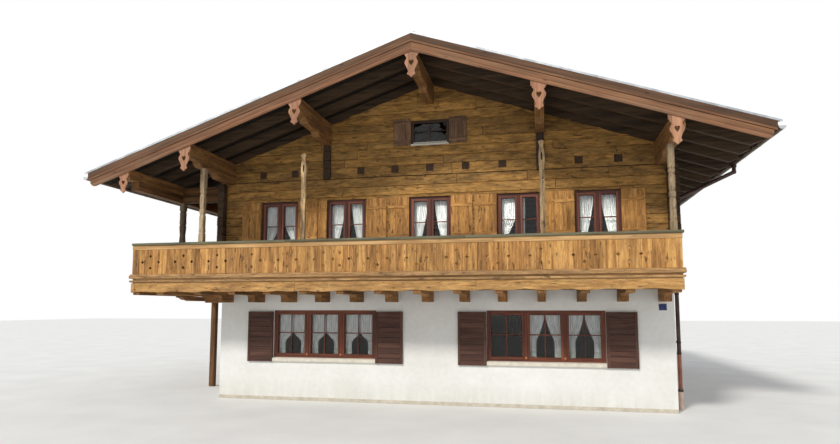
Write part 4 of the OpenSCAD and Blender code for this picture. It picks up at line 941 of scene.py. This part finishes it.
# Collars: each downpipe's place, their heights on it, and the place of the gutter's outlet
collars = Piece("pipe_collars")
for cx, cy, zs, outlet in ((5.667, -5.47, (0.45, 1.25, 1.5, 2.6, 3.9), (7.0883, -5.22, 5.585)),
                           (-7.16, 5.8, (0.45, 1.25, 2.4, 3.69), (-7.9283, 5.22, 5.30))):
    for z in zs:
        rows = [(-0.018, 0.046), (-0.018, 0.0515), (0.018, 0.0515), (0.018, 0.046)]
        collars.turned((cx, cy, z), rows, 28)
    collars.turned(outlet, [(-0.03, 0.05), (-0.03, 0.056), (0.03, 0.062), (0.03, 0.05)], 28)
    rows = [(-0.05, 0.055), (-0.05, 0.06), (-0.01, 0.06), (0.004, 0.047), (0.004, 0.044)]
    collars.turned((cx, cy, 0.45), rows, 28)
collars.done("iron", smooth=True)


def joist_outline(reach, deep, rise, over=0.0):
    """Side of a carved joist: deep at the wall, then a curve up to its slimmer tip. The log
    wall over it stands out by over."""
    inner, foot = 0.3, 2.42
    return [(inner, foot), (inner, MASONRY_TOP), (-over, MASONRY_TOP), (-over, JOIST_Z1), (-reach, JOIST_Z1),
            (-reach, JOIST_Z0 + 0.02), (-reach + 0.02, JOIST_Z0), (-deep - rise, JOIST_Z0),
            (-deep - 0.72 * rise, 2.585), (-deep - 0.4 * rise, 2.573), (-deep - 0.12 * rise, 2.55),
            (-deep, 2.5305), (-deep, foot)]


# Joists of the balcony and the gallery, and the pair that runs forward at their corner
JOIST_HALF, JOIST_PITCH = 0.09, 0.877
FRONT_JOIST = joist_outline(1.522, 0.563, 0.076)
SIDE_JOIST = joist_outline(1.472, 0.898, 0.147, LOG_X - SIDE_X)
joists = Piece("joists")
for k in range(-6, 7):
    across = (k * JOIST_PITCH - JOIST_HALF, k * JOIST_PITCH + JOIST_HALF)
    joists.prism(FRONT, FRONT_JOIST, across, "dz", "d")
    joists.prism(LEFT, SIDE_JOIST, across, "dz", "d")
for x in (-6.882, -6.236):
    joists.box(WORLD, about(x, JOIST_HALF), (-7.522, -5.353), (JOIST_Z0, JOIST_Z1), "d")
joists.done("joist", ["balcony_joists"], bevel=0.008)

# Deck: boards along the front, then along the gallery
DECK_BOARD, DECK_X0, DECK_Y0 = 0.152, -6.972, -7.522
deck = Piece("deck_boards")
y = DECK_Y0
while y < FRONT_Y - 0.01:
    w = min(DECK_BOARD, FRONT_Y - y)
    deck.box(WORLD, (DECK_X0, 5.356), (y + 0.002, y + w - 0.002), (JOIST_Z1 + 0.001, FLOOR_Z), "a")
    y += w
x = DECK_X0
while x < -LOG_X - 0.01:
    w = min(DECK_BOARD, -LOG_X - x)
    deck.box(WORLD, (x + 0.002, x + w - 0.002), (-5.998, 6.012), (JOIST_Z1 + 0.001, FLOOR_Z), "d")
    x += w
deck.done("deck", ["balcony_deck"], bevel=0.004)


def runs(out, inn, left=None):
    """The balcony's four runs for boards that stand out by out and in by inn: plane, ends, out and
    depth. left is how far they stand out on the gallery's side."""
    left = out if left is None else left
    depth = min(inn, BOARD_T)
    return [
        (RUN_FRONT, GALLERY_X - left, BALCONY_X + out, out, inn),
        (RUN_LEFT, -(BALCONY_END - depth - 0.0003), -(BALCONY_Y + inn + 0.0003), left, inn),
        (RUN_RIGHT, BALCONY_Y + inn + 0.0003, FRONT_Y, out, depth),
        (RUN_BACK, LOG_X, -GALLERY_X + left, out, depth),
    ]


def run_pieces(piece, out, inn, z0, z1, length, section=None, left=None):
    """Boards along the four runs of the balcony, jointed every few metres."""
    for plane, a0, a1, reach, deep in runs(out, inn, left):
        n = max(1, round((a1 - a0) / length))
        cuts = [a0 + (a1 - a0) * i / n for i in range(n + 1)]
        cuts = [c + (rng.uniform(-0.5, 0.5) if 0 < i < n else 0.0) for i, c in enumerate(cuts)]
        for i in range(n):
            ends = (cuts[i], cuts[i + 1] - (0.002 if i < n - 1 else 0.0))
            if section is None:
                piece.box(plane, ends, (-reach, deep), (z0, z1), "a")
            else:
                piece.prism(plane, section(reach, deep, z0, z1), ends, "dz", "a")


def ledge_section(out, depth, z0, z1):
    """Moulding with a drip edge and a sloped top."""
    drip = 0.012
    return [(depth, z0 + drip), (-out + 0.02, z0 + drip), (-out + 0.012, z0), (-out, z0),
            (-out, z0 + 0.55 * (z1 - z0)), (-out + 0.012, z0 + 0.72 * (z1 - z0)), (-0.002, z1), (depth, z1)]


# Parapet boards with diamond holes at their seams: one high and low pair, then one on each side
PARAPET_Z0, PARAPET_Z1, RAIL_Z1, PLANK_PITCH = 3.08, 3.67, 3.77, 0.2193
NO_HOLES = 2
HOLES = {0: (3.226, 3.508), 1: (3.368,), NO_HOLES: (), 3: (3.368,)}


def seams(plane, a0, a1):
    """Places of the seams between a0 and a1, each with its kind of holes."""
    marks = []
    if plane is RUN_FRONT:
        for base, lo, hi in ((-6.517, a0, -1.85), (2.630, -1.85, a1)):
            k = math.ceil((lo - base) / PLANK_PITCH)
            while base + k * PLANK_PITCH < hi - 0.02:
                at = base + k * PLANK_PITCH
                if at > lo + 0.02:
                    bare = base > 0 and (k == 1 or at > 4.9)
                    marks.append((at, NO_HOLES if bare else k % 4))
                k += 1
    else:
        n = max(1, round((a1 - a0) / PLANK_PITCH))
        marks = [(a0 + k * (a1 - a0) / n, (k + 2) % 4) for k in range(1, n)]
    return sorted(marks)


def plank_outline(b0, b1, left, right, z0, z1):
    """Upright board whose edges carry half diamonds. left and right list the holes' heights."""
    w, h = 0.036, 0.042
    pts = [(b0, z0), (b1, z0)]
    for z in sorted(right):
        pts += [(b1, z - h), (b1 - w, z), (b1, z + h)]
    pts += [(b1, z1), (b0, z1)]
    for z in sorted(left, reverse=True):
        pts += [(b0, z + h), (b0 + w, z), (b0, z - h)]
    return pts


parapet = Piece("parapet_planks")
for plane, a0, a1, _, _ in runs(0.0, BOARD_T):
    marks = [(a0, NO_HOLES)] + seams(plane, a0, a1) + [(a1, NO_HOLES)]
    for (b0, k0), (b1, k1) in zip(marks, marks[1:]):
        face = rng.uniform(0.0, 0.0025)
        g0 = 0.0 if b0 == a0 else 0.0012
        g1 = 0.0 if b1 == a1 else 0.0012
        outline = plank_outline(b0 + g0, b1 - g1, HOLES[k0], HOLES[k1], PARAPET_Z0, PARAPET_Z1)
        parapet.prism(plane, outline, (face, BOARD_T), "az", "z")
parapet.done("parapet", ["parapet_boards"], bevel=0.0025)

rails, ledges, cap = Piece("rail_boards"), Piece("ledge_boards"), Piece("handrail_cap")
RAIL_IN, STUD_HALF = 0.0883, 0.03
run_pieces(rails, 0.010, RAIL_IN, PARAPET_Z1, RAIL_Z1, 3.6)
run_pieces(ledges, 0.050, BOARD_T, 2.975, PARAPET_Z0, 3.0, section=ledge_section)
run_pieces(ledges, 0.040, 0.012, 2.890, 2.935, 3.4)
run_pieces(rails, -0.0123, BOARD_T, 2.868, 2.975, 3.8)
# Studs behind the parapet, from its left corner along the front and then along the gallery
STUD_X0, STUD_Y0, STUD_ENDS = GALLERY_X + 0.0583, BALCONY_Y + 0.0583, 0.1166
for i in range(14):
    x = STUD_X0 + i * (BALCONY_X - GALLERY_X - STUD_ENDS) / 13
    rails.box(WORLD, about(x, STUD_HALF), (-7.5217, -7.4617), (FLOOR_Z, PARAPET_Z1), "z")
for i in range(1, 16):
    y = STUD_Y0 + i * (BALCONY_END - BALCONY_Y - STUD_ENDS) / 15
    rails.box(WORLD, (-6.9717, -6.9117), about(y, STUD_HALF), (FLOOR_Z, PARAPET_Z1), "z")
rails.done("rail", ["parapet_rails"], bevel=0.006, segments=2)
ledges.done("ledge", bevel=0.006, segments=2)
run_pieces(cap, 0.040, RAIL_IN, RAIL_Z1, 3.828, 4.6, left=0.014)
cap.done("cap", bevel=0.01, segments=2)


def worn_outline(b0, b1, z0, z1, seed):
    """Board with an uneven, worn lower edge."""
    n = max(8, int((b1 - b0) / 0.045))
    pts = []
    for i in range(n + 1):
        a = b0 + (b1 - b0) * i / n
        wave = 0.35 * math.sin(2 * math.pi * a / 0.86 + seed)
        w = 0.5 + wave + 0.7 * noise.noise(Vector((a * 3.1, seed, 0.0)))
        pts.append((a, z0 + 0.026 * min(max(w, 0.0), 1.0)))
    return pts + [(b1, z1), (b0, z1)]


FASCIA_Z0, FASCIA_Z1, FASCIA_OUT = 2.643, 2.868, 0.01
fascia = Piece("fascia_boards")
for plane, a0, a1, _, _ in runs(FASCIA_OUT, BOARD_T):
    if plane is RUN_FRONT:
        fascia.box(plane, (a0, a0 + 0.098), (-FASCIA_OUT, BOARD_T), (FASCIA_Z0, FASCIA_Z1), "z")
        a0 += 0.1
    n = max(1, round((a1 - a0) / 4.1))
    for i in range(n):
        b0, b1 = a0 + (a1 - a0) * i / n, a0 + (a1 - a0) * (i + 1) / n - (0.002 if i < n - 1 else 0)
        outline = worn_outline(b0, b1, FASCIA_Z0, FASCIA_Z1, 1.7 * i)
        fascia.prism(plane, outline, (-FASCIA_OUT, BOARD_T), "az", "a")
fascia.done("fascia", ["balcony_fascia"], bevel=0.004)

# Carved posts: height, radius as a share of the post's width, and squareness. The gallery's are
# shares of half their width.
CORNER_ROWS = [
    (2.88, 0.5, 1), (4.02, 0.5, 1), (4.045, 0.47, 1), (4.06, 0.42, 0.8), (4.075, 0.47, 0.9),
    (4.10, 0.49, 0.9), (4.18, 0.46, 0.75), (4.30, 0.47, 0.7), (4.42, 0.49, 0.75), (4.48, 0.45, 0.7),
    (4.502, 0.37, 0.55), (4.52, 0.46, 0.7), (4.535, 0.49, 0.8), (4.60, 0.50, 0.85), (4.63, 0.47, 0.75),
    (4.645, 0.38, 0.55), (4.665, 0.44, 0.65), (4.74, 0.48, 0.7), (4.86, 0.5, 0.75), (4.94, 0.48, 0.7),
    (4.99, 0.42, 0.6), (5.006, 0.38, 0.5), (5.02, 0.45, 0.7), (5.04, 0.48, 0.8), (5.075, 0.485, 0.85),
    (5.095, 0.46, 0.8), (5.108, 0.40, 0.7), (5.125, 0.46, 0.9), (5.15, 0.5, 1), (5.616, 0.5, 1),
]
GALLERY_ROWS = [
    (2.88, 1, 1), (3.84, 1, 1), (3.87, 0.86, 0.8), (3.90, 0.98, 0.85), (4.05, 0.93, 0.75), (4.22, 0.80, 0.7),
    (4.36, 0.92, 0.75), (4.46, 0.98, 0.8), (4.50, 0.84, 0.7), (4.53, 0.98, 0.8), (4.68, 0.9, 0.75),
    (4.80, 0.96, 0.8), (4.86, 0.84, 0.75), (4.89, 1, 1), (5.084, 1, 1),
]
POST_BACK_Y, POST_W, POST_X, SLENDER_X = -7.3967, 0.13, 5.27, 2.69
posts = Piece("carved_posts")
for x in (-POST_X, POST_X):
    posts.turned((x, POST_BACK_Y, 0.0), [(z, r * POST_W, sq) for z, r, sq in CORNER_ROWS], 24)
posts.done("post", ["corner_posts"], smooth=True, angle=28)

# Slender posts: worn edges, a waisted neck, a round head and a slit
SLENDER_HEAD = ((0.061, 5.33), (0.0665, 5.45), (0.0665, 5.50), (0.0585, 5.58), (0.052, 5.63),
                (0.0405, 5.69), (0.0425, 5.735))
slender = Piece("slender_uprights")
for s in (-1, 1):
    x = s * SLENDER_X
    edges = []
    for e in (-1, 1):
        edge = []
        for k in range(41):
            z = FLOOR_Z + 2.38 * k / 40
            chips = noise.noise(Vector((z * 7.0, e * 5.0, s * 9.0)))
            worn = 0.5 + 0.5 * math.sin(z * 23 + e + s) + 0.9 * chips
            edge.append((x + e * (0.0565 - 0.0055 * min(max(worn, 0.0), 1.0) * (k > 0)), z))
        edges.append(edge + [(x + e * half, z) for half, z in SLENDER_HEAD])
    outline = edges[1] + arc(x, 5.793, 0.060, 0.05, -0.75, math.pi + 1.5, 20) + edges[0][::-1]
    slit = arc(x, 5.49, 0.020, 0.09, 0, 2 * math.pi, 16)[:-1]
    slender.prism(WORLD, outline, (-7.4617, POST_BACK_Y), "az", "z", holes=[slit])
slender.done("slender", ["slender_posts"], bevel=0.006, segments=2)

# Thin stays from the slender posts to the wall, with a plate at each end
stays = Piece("post_stays")
for s in (-1, 1):
    x = s * SLENDER_X
    a, b = Vector((x, POST_BACK_Y, 5.548)), Vector((x, FRONT_Y, 5.468))
    d = (b - a).normalized()
    up = Vector((1, 0, 0)).cross(d).normalized()
    circle = arc(0, 0, 0.007, 0.007, 0, 2 * math.pi, 10)[:-1]
    places = (a, a + (b - a) * 0.5, b)
    stays.loft([[p + Vector((1, 0, 0)) * q + up * r for q, r in circle] for p in places], d)
    for p in (a + d * 0.004, b - d * 0.03):
        stays.box(WORLD, about(p.x, 0.02), (p.y - 0.004, p.y + 0.012), about(p.z, 0.03), "z")
stays.done("beam", smooth=True)

# Gallery: its plate, posts, cross beams, foot beam with a carved nose, and ground posts
BEAM_HALF, PLATE_Z0, POST_INNER = 0.075, 5.084, -6.7747
GALLERY_END, BEAM_FOOT, BEAM_X = 5.9, 2.47, (-6.972, -6.822)
gallery, gallery_posts = Piece("gallery_timbers"), Piece("gallery_uprights")
gallery.box(WORLD, (-6.975, -6.775), (-7.75, 6.88), (PLATE_Z0, 5.2875), "d")
for y in (-GALLERY_END, -GALLERY_END / 2, 0.0, GALLERY_END / 2, GALLERY_END):
    gallery_posts.turned((-6.7917, y, 0.0), [(z, BEAM_HALF * r, q) for z, r, q in GALLERY_ROWS], 24)
    corner = abs(y) == GALLERY_END
    end = -LOG_END_X if corner else -LOG_X
    gallery.box(WORLD, (POST_INNER, end), about(y, BEAM_HALF), (PLATE_Z0, 5.285), "a")
    if corner:
        gallery.box(WORLD, (POST_INNER, end), about(y, 0.072), (5.291, 5.494), "a")
outline = [(-5.832, JOIST_Z0), (-5.832, 2.56), (-5.72, 2.548), (-5.65, 2.52), (-5.592, 2.50), (-5.48, 2.494),
           (-5.41, 2.48), (-5.352, BEAM_FOOT), (6.012, BEAM_FOOT), (6.012, JOIST_Z0)]
gallery.prism(WORLD, outline, BEAM_X, "dz", "d")
for y in (-4.0, 0.0, 4.0):
    gallery.box(WORLD, BEAM_X, about(y, BEAM_HALF), (0.0, BEAM_FOOT), "z")
gallery.done("beam", ["gallery_frame"], bevel=0.008)
gallery_posts.done("grey_post", smooth=True, angle=28)

# Windows: depth of the frames' front and back, and the widths of a post between lights, of a
# frame and of the bead round the glass
D0, D1, MULLION, FRAME, BEAD = 0.045, 0.135, 0.165, 0.1, 0.008


def ring(piece, plane, a, z, w, d, tone=None):
    """Four rails round the rectangle a, z, each w wide outward."""
    for left in (a[0] - w, a[1]):
        piece.box(plane, (left, left + w), d, (z[0] - w, z[1] + w), "z", tone)
    for low in (z[1], z[0] - w):
        piece.box(plane, a, d, (low, low + w), "a", tone)


def window(frames, sashes, plane, x, size, lights, bars_a, bars_z, fw=FRAME):
    """Frame, sashes and bars, which are given as shares of a light. Returns the lights' sides,
    and their bottom and top."""
    w, h, top = size
    lw = (w - 2 * fw - (lights - 1) * MULLION) / lights
    starts = [x - w / 2 + fw + i * (lw + MULLION) for i in range(lights)]
    spans = [(a, a + lw) for a in starts]
    lo, hi = top - h + fw, top - fw
    ring(frames, plane, (x - w / 2 + fw, x + w / 2 - fw), (lo, hi), fw, (D0, D1))
    for (_, a1), (b0, _) in zip(spans, spans[1:]):
        frames.box(plane, (a1, b0), (D0, D1), (lo, hi), "z")
        c = (a1 + b0) / 2
        frames.box(plane, about(c, 0.026), (D0 - 0.016, D0), (top - h + 0.055, top - 0.055), "z")
    for a0, a1 in spans:
        t = rng.random()
        ring(sashes, plane, (a0, a1), (lo, hi), 0.046, (D0 - 0.009, D0 + 0.02), t)
        ring(sashes, plane, (a0 + BEAD, a1 - BEAD), (lo + BEAD, hi - BEAD), 0.0085,
             (D0 + 0.004, D0 + 0.036), t)
        for q in bars_a:
            c = a0 + (a1 - a0) * q
            sashes.box(plane, about(c, 0.011), (D0 + 0.008, D0 + 0.034), (lo, hi), "z", t)
        for q in bars_z:
            c = hi - (hi - lo) * q
            sashes.box(plane, (a0, a1), (D0 + 0.006, D0 + 0.034), about(c, 0.012), "a", t)
    return spans, lo, hi


STOREYS = ("ground", "upper", "attic")
ground_frames, upper_frames, attic_frames = (Piece(storey + "_window_frames") for storey in STOREYS)
ground_sashes, upper_sashes, attic_sashes = (Piece(storey + "_sashes") for storey in STOREYS)
knobs = Piece("window_knobs")
KNOB_ROWS = [(0.0, 0.012), (0.006, 0.02), (0.012, 0.03), (0.022, 0.034), (0.032, 0.027), (0.038, 0.012),
             (0.040, 0.0005)]
# Depth of the curtains behind the wall's face, by storey
NET_D = {"ground": 0.185, "upper": 0.168}
curtains, rod_list = [], []
for n, (plane, x) in enumerate(TRIPLES):
    spans, lo, hi = window(ground_frames, ground_sashes, plane, x, TRIPLE, 3, (0.5,), (0.47,))
    for (_, a1), (b0, _) in zip(spans, spans[1:]):
        knobs.turned(plane.at((a1 + b0) / 2, D0 - 0.004, lo - 0.012), KNOB_ROWS, 16, axis=-plane.n)
    curtains += [("ground", n, k, plane, a0, a1, lo, hi) for k, (a0, a1) in enumerate(spans)]
    rod_list.append((plane, x - 1.243, x + 1.243, hi + 0.012, NET_D["ground"]))
for n, (plane, x) in enumerate(UPPER):
    spans, lo, hi = window(upper_frames, upper_sashes, plane, x, DOUBLE, 2, (), (0.53,))
    curtains += [("upper", n, k, plane, a0, a1, lo, hi) for k, (a0, a1) in enumerate(spans)]
    rod_list.append((plane, x - 0.45, x + 0.45, hi + 0.012, NET_D["upper"]))
for plane in (FRONT, BACK):
    window(attic_frames, attic_sashes, plane, 0.0, ATTIC, 1, (0.5,), (0.45,), 0.06)
ground_frames.done("frame", ["ground_windows"], bevel=0.006)
ground_sashes.done("frame", bevel=0.003)
# Upper frames in the painted-shade colour, their sashes in the painted-light colour
upper_frames.done("upper_frame_shaded", ["upper_windows"], bevel=0.006)
upper_sashes.done("upper_sash_lit", bevel=0.003)
attic_frames.done("attic_frame", bevel=0.005)
attic_sashes.done("attic_frame", bevel=0.003)
knobs.done("knob", smooth=True, angle=60)

rods = Piece("curtain_rods")
for plane, a0, a1, z, d in rod_list:
    half = [(0.0, 0.004), (0.004, 0.009), (0.016, 0.009), (0.02, 0.005)]
    rows = half + [(a1 - a0 - t, r) for t, r in half[::-1]]
    rods.turned(plane.at(a0, d, z), rows, 10, axis=plane.u)
rods.done("iron", smooth=True)


def drape(name, plane, fix, away, z_top, z_bot, width, d, folds, flat_w, phase):
    """Gathered net hung from a rod. width(v) is how far it reaches from its fixed side, and
    its pleats deepen where it narrows, so that every row is as long as the flat cloth."""
    nu, nv = folds * 8, 22
    net = Piece(name)
    for j in range(nv + 1):
        v = j / nv
        w = min(width(v), flat_w * 0.97)
        deep = w / folds / (2 * math.pi) * math.sqrt((flat_w / w) ** 2 - 1) / 0.685
        for i in range(nu + 1):
            u = i / nu
            turn = 2 * math.pi * folds * u + phase
            sway = 0.2 * math.sin(5 * v + 3 * u + phase)
            out = d + deep * (0.9 + 0.1 * math.sin(3.1 * u * folds + phase)) * math.sin(turn + sway)
            a = fix + away * w * (u + 0.008 * math.sin(2 * turn + phase) * (1 - abs(2 * u - 1)))
            z = z_top + (z_bot - z_top) * v + 0.004 * math.sin(turn) * v
            net.pts.append(plane.at(a, out, z))
            net.grain.append((u * flat_w, v, 0.0))
            net.tone.append(0.5)
    m = nu + 1
    net.faces = [(j * m + i, j * m + i + 1, (j + 1) * m + i + 1, (j + 1) * m + i)
                 for j in range(nv) for i in range(nu)]
    ob = net.done("net", smooth=True, angle=180)


def bell(v, full, waist, at):
    """Width of a tied-back net: full at first, then narrowing to its waist at the share at."""
    if v < 0.45:
        return full
    if v >= at and at < 1:
        return waist
    t = (v - 0.45) / (at - 0.45)
    return full + (waist - full) * (3 * t * t - 2 * t ** 3)


def net_shape(kind, n, k, w):
    """Width of a net at the share v of its drop, by storey, window and light."""
    if kind == "ground":
        if n == 0:
            return lambda v: bell(v, w / 2 + 0.004, w / 2 - 0.20, 0.72)
        if n == 1:
            return lambda v: (w / 2 + 0.002) * (1 - 0.55 * min(v / 0.62, 1) ** 1.6)
        return lambda v: w / 2 + 0.014
    if (n, k) == (3, 1):
        return lambda v: 0.075 - 0.02 * v
    if n >= 5:
        return lambda v: w + 0.022
    if n % 3 == 0:
        return lambda v: bell(v, w + 0.02, w * 0.45, 1.0)
    return lambda v: (w + 0.02) * (1 - 0.55 * v ** 1.4)


# Curtains: two gathered nets to a light below, one to a sash above. The first light of the right
# front group has none, and the fourth upper window has one narrow net.
for kind, n, k, plane, a0, a1, lo, hi in curtains:
    phase = rng.uniform(0, 6.28)
    sides = [(a0 - 0.012, 1), (a1 + 0.012, -1)]
    folds, flat_w = 7, 0.58 if kind == "ground" else 0.56
    name = f"net_{kind}_{n}_{k}"
    hung = [(f"{name}_{side}", *sides[side]) for side in (0, 1)] if kind == "ground" else [(name, *sides[k])]
    if (kind, n, k) == ("ground", 1, 0):
        continue
    if (kind, n, k) == ("upper", 3, 1):
        hung, folds, flat_w = [(name, *sides[0])], 2, 0.14
    for name, fix, away in hung:
        drape(name, plane, fix, away, hi + 0.02, lo - 0.01, net_shape(kind, n, k, a1 - a0), NET_D[kind],
              folds, flat_w, phase)

# Sills with a drip edge, and the attic windows' sills and lower rails
TRIPLE_HALF, SILL_Z = TRIPLE[0] / 2, 1.042
sills = Piece("sill_blocks")
for plane, x in TRIPLES:
    length = about(x, TRIPLE_HALF)
    outline = [(d, SILL_Z - z) for d, z in (
        (0.0, 0.095), (-0.05, 0.095), (-0.06, 0.085), (-0.06, 0.014), (-0.052, 0.006), (0.0, 0.0))]
    sills.prism(plane, outline, length, "dz", "a")
    sills.box(plane, length, (0.0, 0.05), about(SILL_Z, 0.006), "a")
for plane in (FRONT, BACK):
    outline = [(0.0, 6.2805), (-0.06, 6.2805), (-0.06, 6.318), (0.0, 6.328)]
    sills.prism(plane, outline, (-ATTIC[0] / 2, ATTIC[0] / 2), "dz", "a")
    sills.box(plane, (-0.42, 0.42), (0.028, 0.045), (6.350, 6.382), "a")
sills.done("sill", ["window_sills"], bevel=0.004)

# Folded shutters of the ground storey: two leaves on each other, with ten slats between stiles
SHUTTER_T, HINGE, STILE = 0.032, 0.004, 0.06
LEAF_Z0, LEAF_Z1, LEAF_W, SLATS = 0.942, 2.19, 0.672, 10
ground_leaves = Piece("ground_shutter_boards")
for plane, x in TRIPLES:
    for s in (-1, 1):
        a0 = x + s * (TRIPLE_HALF + HINGE)
        lo, hi = sorted((a0, a0 + s * LEAF_W))
        for lift in (0.0, SHUTTER_T):
            d0, d1 = -lift - SHUTTER_T, -lift
            slat = (LEAF_Z1 - LEAF_Z0) / SLATS
            for k in range(SLATS):
                z = LEAF_Z0 + slat * k
                ground_leaves.box(plane, (lo + 0.02, hi - 0.02), (d0 + 0.007, d1 - 0.002),
                                  (z + 0.002, z + slat - 0.002), "a")
            for a in (lo, hi - STILE):
                ground_leaves.box(plane, (a, a + STILE), (d0, d1), (LEAF_Z0, LEAF_Z1), "z")
ground_leaves.done("ground_shutter", ["ground_shutters"], bevel=0.003)


def board_leaf(piece, plane, s, x, inner, outer, z0, z1, battens, lift=0.0):
    """Shutter of three boards on side s of x, between inner and outer, with two battens."""
    boards = 3
    a0, a1 = sorted((x + s * inner, x + s * outer))
    d0, d1 = -lift - SHUTTER_T, -lift
    leaf = rng.uniform(0.2, 0.8)
    for k in range(boards):
        b0 = a0 + (a1 - a0) * k / boards
        b1 = a0 + (a1 - a0) * (k + 1) / boards
        piece.box(plane, (b0 + 0.001, b1 - 0.001), (d0 + 0.009 + rng.uniform(0, 0.002), d1), (z0, z1), "z",
                  leaf + rng.uniform(-0.2, 0.2))
    for batten in battens:
        piece.box(plane, (a0 + 0.004, a1 - 0.004), (d0, d0 + 0.014), batten, "a", min(leaf + 0.1, 1.0))


# Board shutters. On the front and back, the inner shutters of the outermost windows lie over
# their neighbours.
upper_leaves, attic_leaves = Piece("upper_shutter_boards"), Piece("attic_shutter_boards")
for i, (plane, x) in enumerate(UPPER):
    for s in (-1, 1):
        over = i < 10 and (i % 5, s) in ((0, 1), (4, -1))
        board_leaf(upper_leaves, plane, s, x, 0.513 + HINGE, 0.513 + 0.534, 3.801, 5.001,
                   ((4.725, 4.795), (4.007, 4.077)), SHUTTER_T if over else 0.0)
for plane in (FRONT, BACK):
    for s in (-1, 1):
        board_leaf(attic_leaves, plane, s, 0.0, 0.474 + HINGE, 0.474 + 0.444, 6.308, 6.968,
                   ((6.84, 6.92), (6.36, 6.44)))
upper_leaves.done("shutter", ["upper_shutters"], bevel=0.003)
attic_leaves.done("attic_shutter", bevel=0.003)

handles = Piece("door_handles")
for plane, a, z in ((LEFT, SIDE_TRIPLE + 0.40, 1.2), (LEFT_LOG, 1.5 + 0.40, 3.9)):
    handles.box(plane, about(a, 0.02), (0.040, 0.046), about(z, 0.11), "z")
    handles.turned(plane.at(a, 0.045, z), [(0, 0.012), (0.03, 0.009), (0.05, 0.010), (0.055, 0.004)], 12,
                   axis=-plane.n)
    handles.turned(plane.at(a, 0.0, z), [(0, 0.006), (0.01, 0.010), (0.10, 0.008), (0.115, 0.004)], 12,
                   axis=-plane.u)
handles.done("iron", smooth=True)

# Number plate, bare, with a raised rim
PLATE_X, PLATE_Z, PLATE_W, PLATE_H = 5.258, 2.302, 0.185, 0.165


def plate_sides(inset):
    a, z = PLATE_W / 2 - inset, PLATE_H / 2 - inset
    return about(PLATE_X, a), about(PLATE_Z, z)


plate, rim = Piece("plate_panel"), Piece("plate_rim")
across, upright = plate_sides(0.004)
plate.box(FRONT, across, (-0.004, 0.0), upright, "a", 0.5)
plate.done("plate", ["number_plate"], bevel=0.002)
ring(rim, FRONT, *plate_sides(0.010), 0.010, (-0.006, -0.001), 0.5)
rim.done("plate_rim", bevel=0.0015)

# Ground sheet
scene = bpy.context.scene
me = bpy.data.meshes.new("ground_sheet")
corners = [(90.0 * i, 90.0 * j, -0.002) for i, j in ((-1, -1), (1, -1), (1, 1), (-1, 1))]
me.from_pydata(corners, [], [(0, 1, 2, 3)])
ground = bpy.data.objects.new("ground_sheet", me)
scene.collection.objects.link(ground)
gm = Mat("ground_mat", 0.95, spec=0.1)
pale = [(0.3, (0.80, 0.80, 0.79)), (0.7, (0.86, 0.86, 0.85))]
gm.colour(gm.ramp(gm.noise(gm.world(), 0.8, 3, 0.5), pale, linear))
me.materials.append(gm.m)

# World: a soft cool sky for light, plain white to the camera and in reflections
world = bpy.data.worlds.new("studio")
scene.world = world
world.use_nodes = True
tree = world.node_tree
tree.nodes.clear()
sky, white, path, either, seen, mix, out = (tree.nodes.new("ShaderNode" + kind) for kind in (
    "Background", "Background", "LightPath", "Math", "Math", "MixShader", "OutputWorld"))
sky.inputs[0].default_value, sky.inputs[1].default_value = (0.94, 0.97, 1.0, 1.0), 0.62
white.inputs[0].default_value, white.inputs[1].default_value = (1.0, 1.0, 1.0, 1.0), 1.0
either.operation = seen.operation = "MAXIMUM"
for source, socket in (
    (path.outputs["Is Camera Ray"], either.inputs[0]), (path.outputs["Is Glossy Ray"], either.inputs[1]),
    (either.outputs[0], seen.inputs[0]), (path.outputs["Is Transmission Ray"], seen.inputs[1]),
    (seen.outputs[0], mix.inputs[0]), (sky.outputs[0], mix.inputs[1]), (white.outputs[0], mix.inputs[2]),
    (mix.outputs[0], out.inputs[0]),
):
    tree.links.new(source, socket)

sun = bpy.data.lights.new("key", "SUN")
sun.energy, sun.angle, sun.color = 2.1, math.radians(9), (1.0, 0.965, 0.9)
sun_ob = bpy.data.objects.new("key", sun)
sun_ob.rotation_mode = "QUATERNION"
sun_ob.rotation_quaternion = Vector((0.457, 1.0, -0.867)).to_track_quat("-Z", "Y")
scene.collection.objects.link(sun_ob)

# Camera, fitted to the photograph: focal length and principal point in pixels
PICTURE_W, PICTURE_H, FOCAL, CENTRE_X, CENTRE_Y, SENSOR = 840, 444, 590.0, 418.5, 248.9, 36.0
cam = bpy.data.cameras.new("camera")
cam.sensor_width, cam.lens, cam.clip_end = SENSOR, FOCAL / PICTURE_W * SENSOR, 400
cam.shift_x, cam.shift_y = (PICTURE_W / 2 - CENTRE_X) / PICTURE_W, (CENTRE_Y - PICTURE_H / 2) / PICTURE_W
cam_ob = bpy.data.objects.new("camera", cam)
cam_ob.location = (2.675, -19.998, 2.292)
cam_ob.rotation_euler = (math.radians(90 + 5.67), 0, math.radians(11.94))
scene.collection.objects.link(cam_ob)
scene.camera = cam_ob
scene.view_settings.view_transform = "Standard"
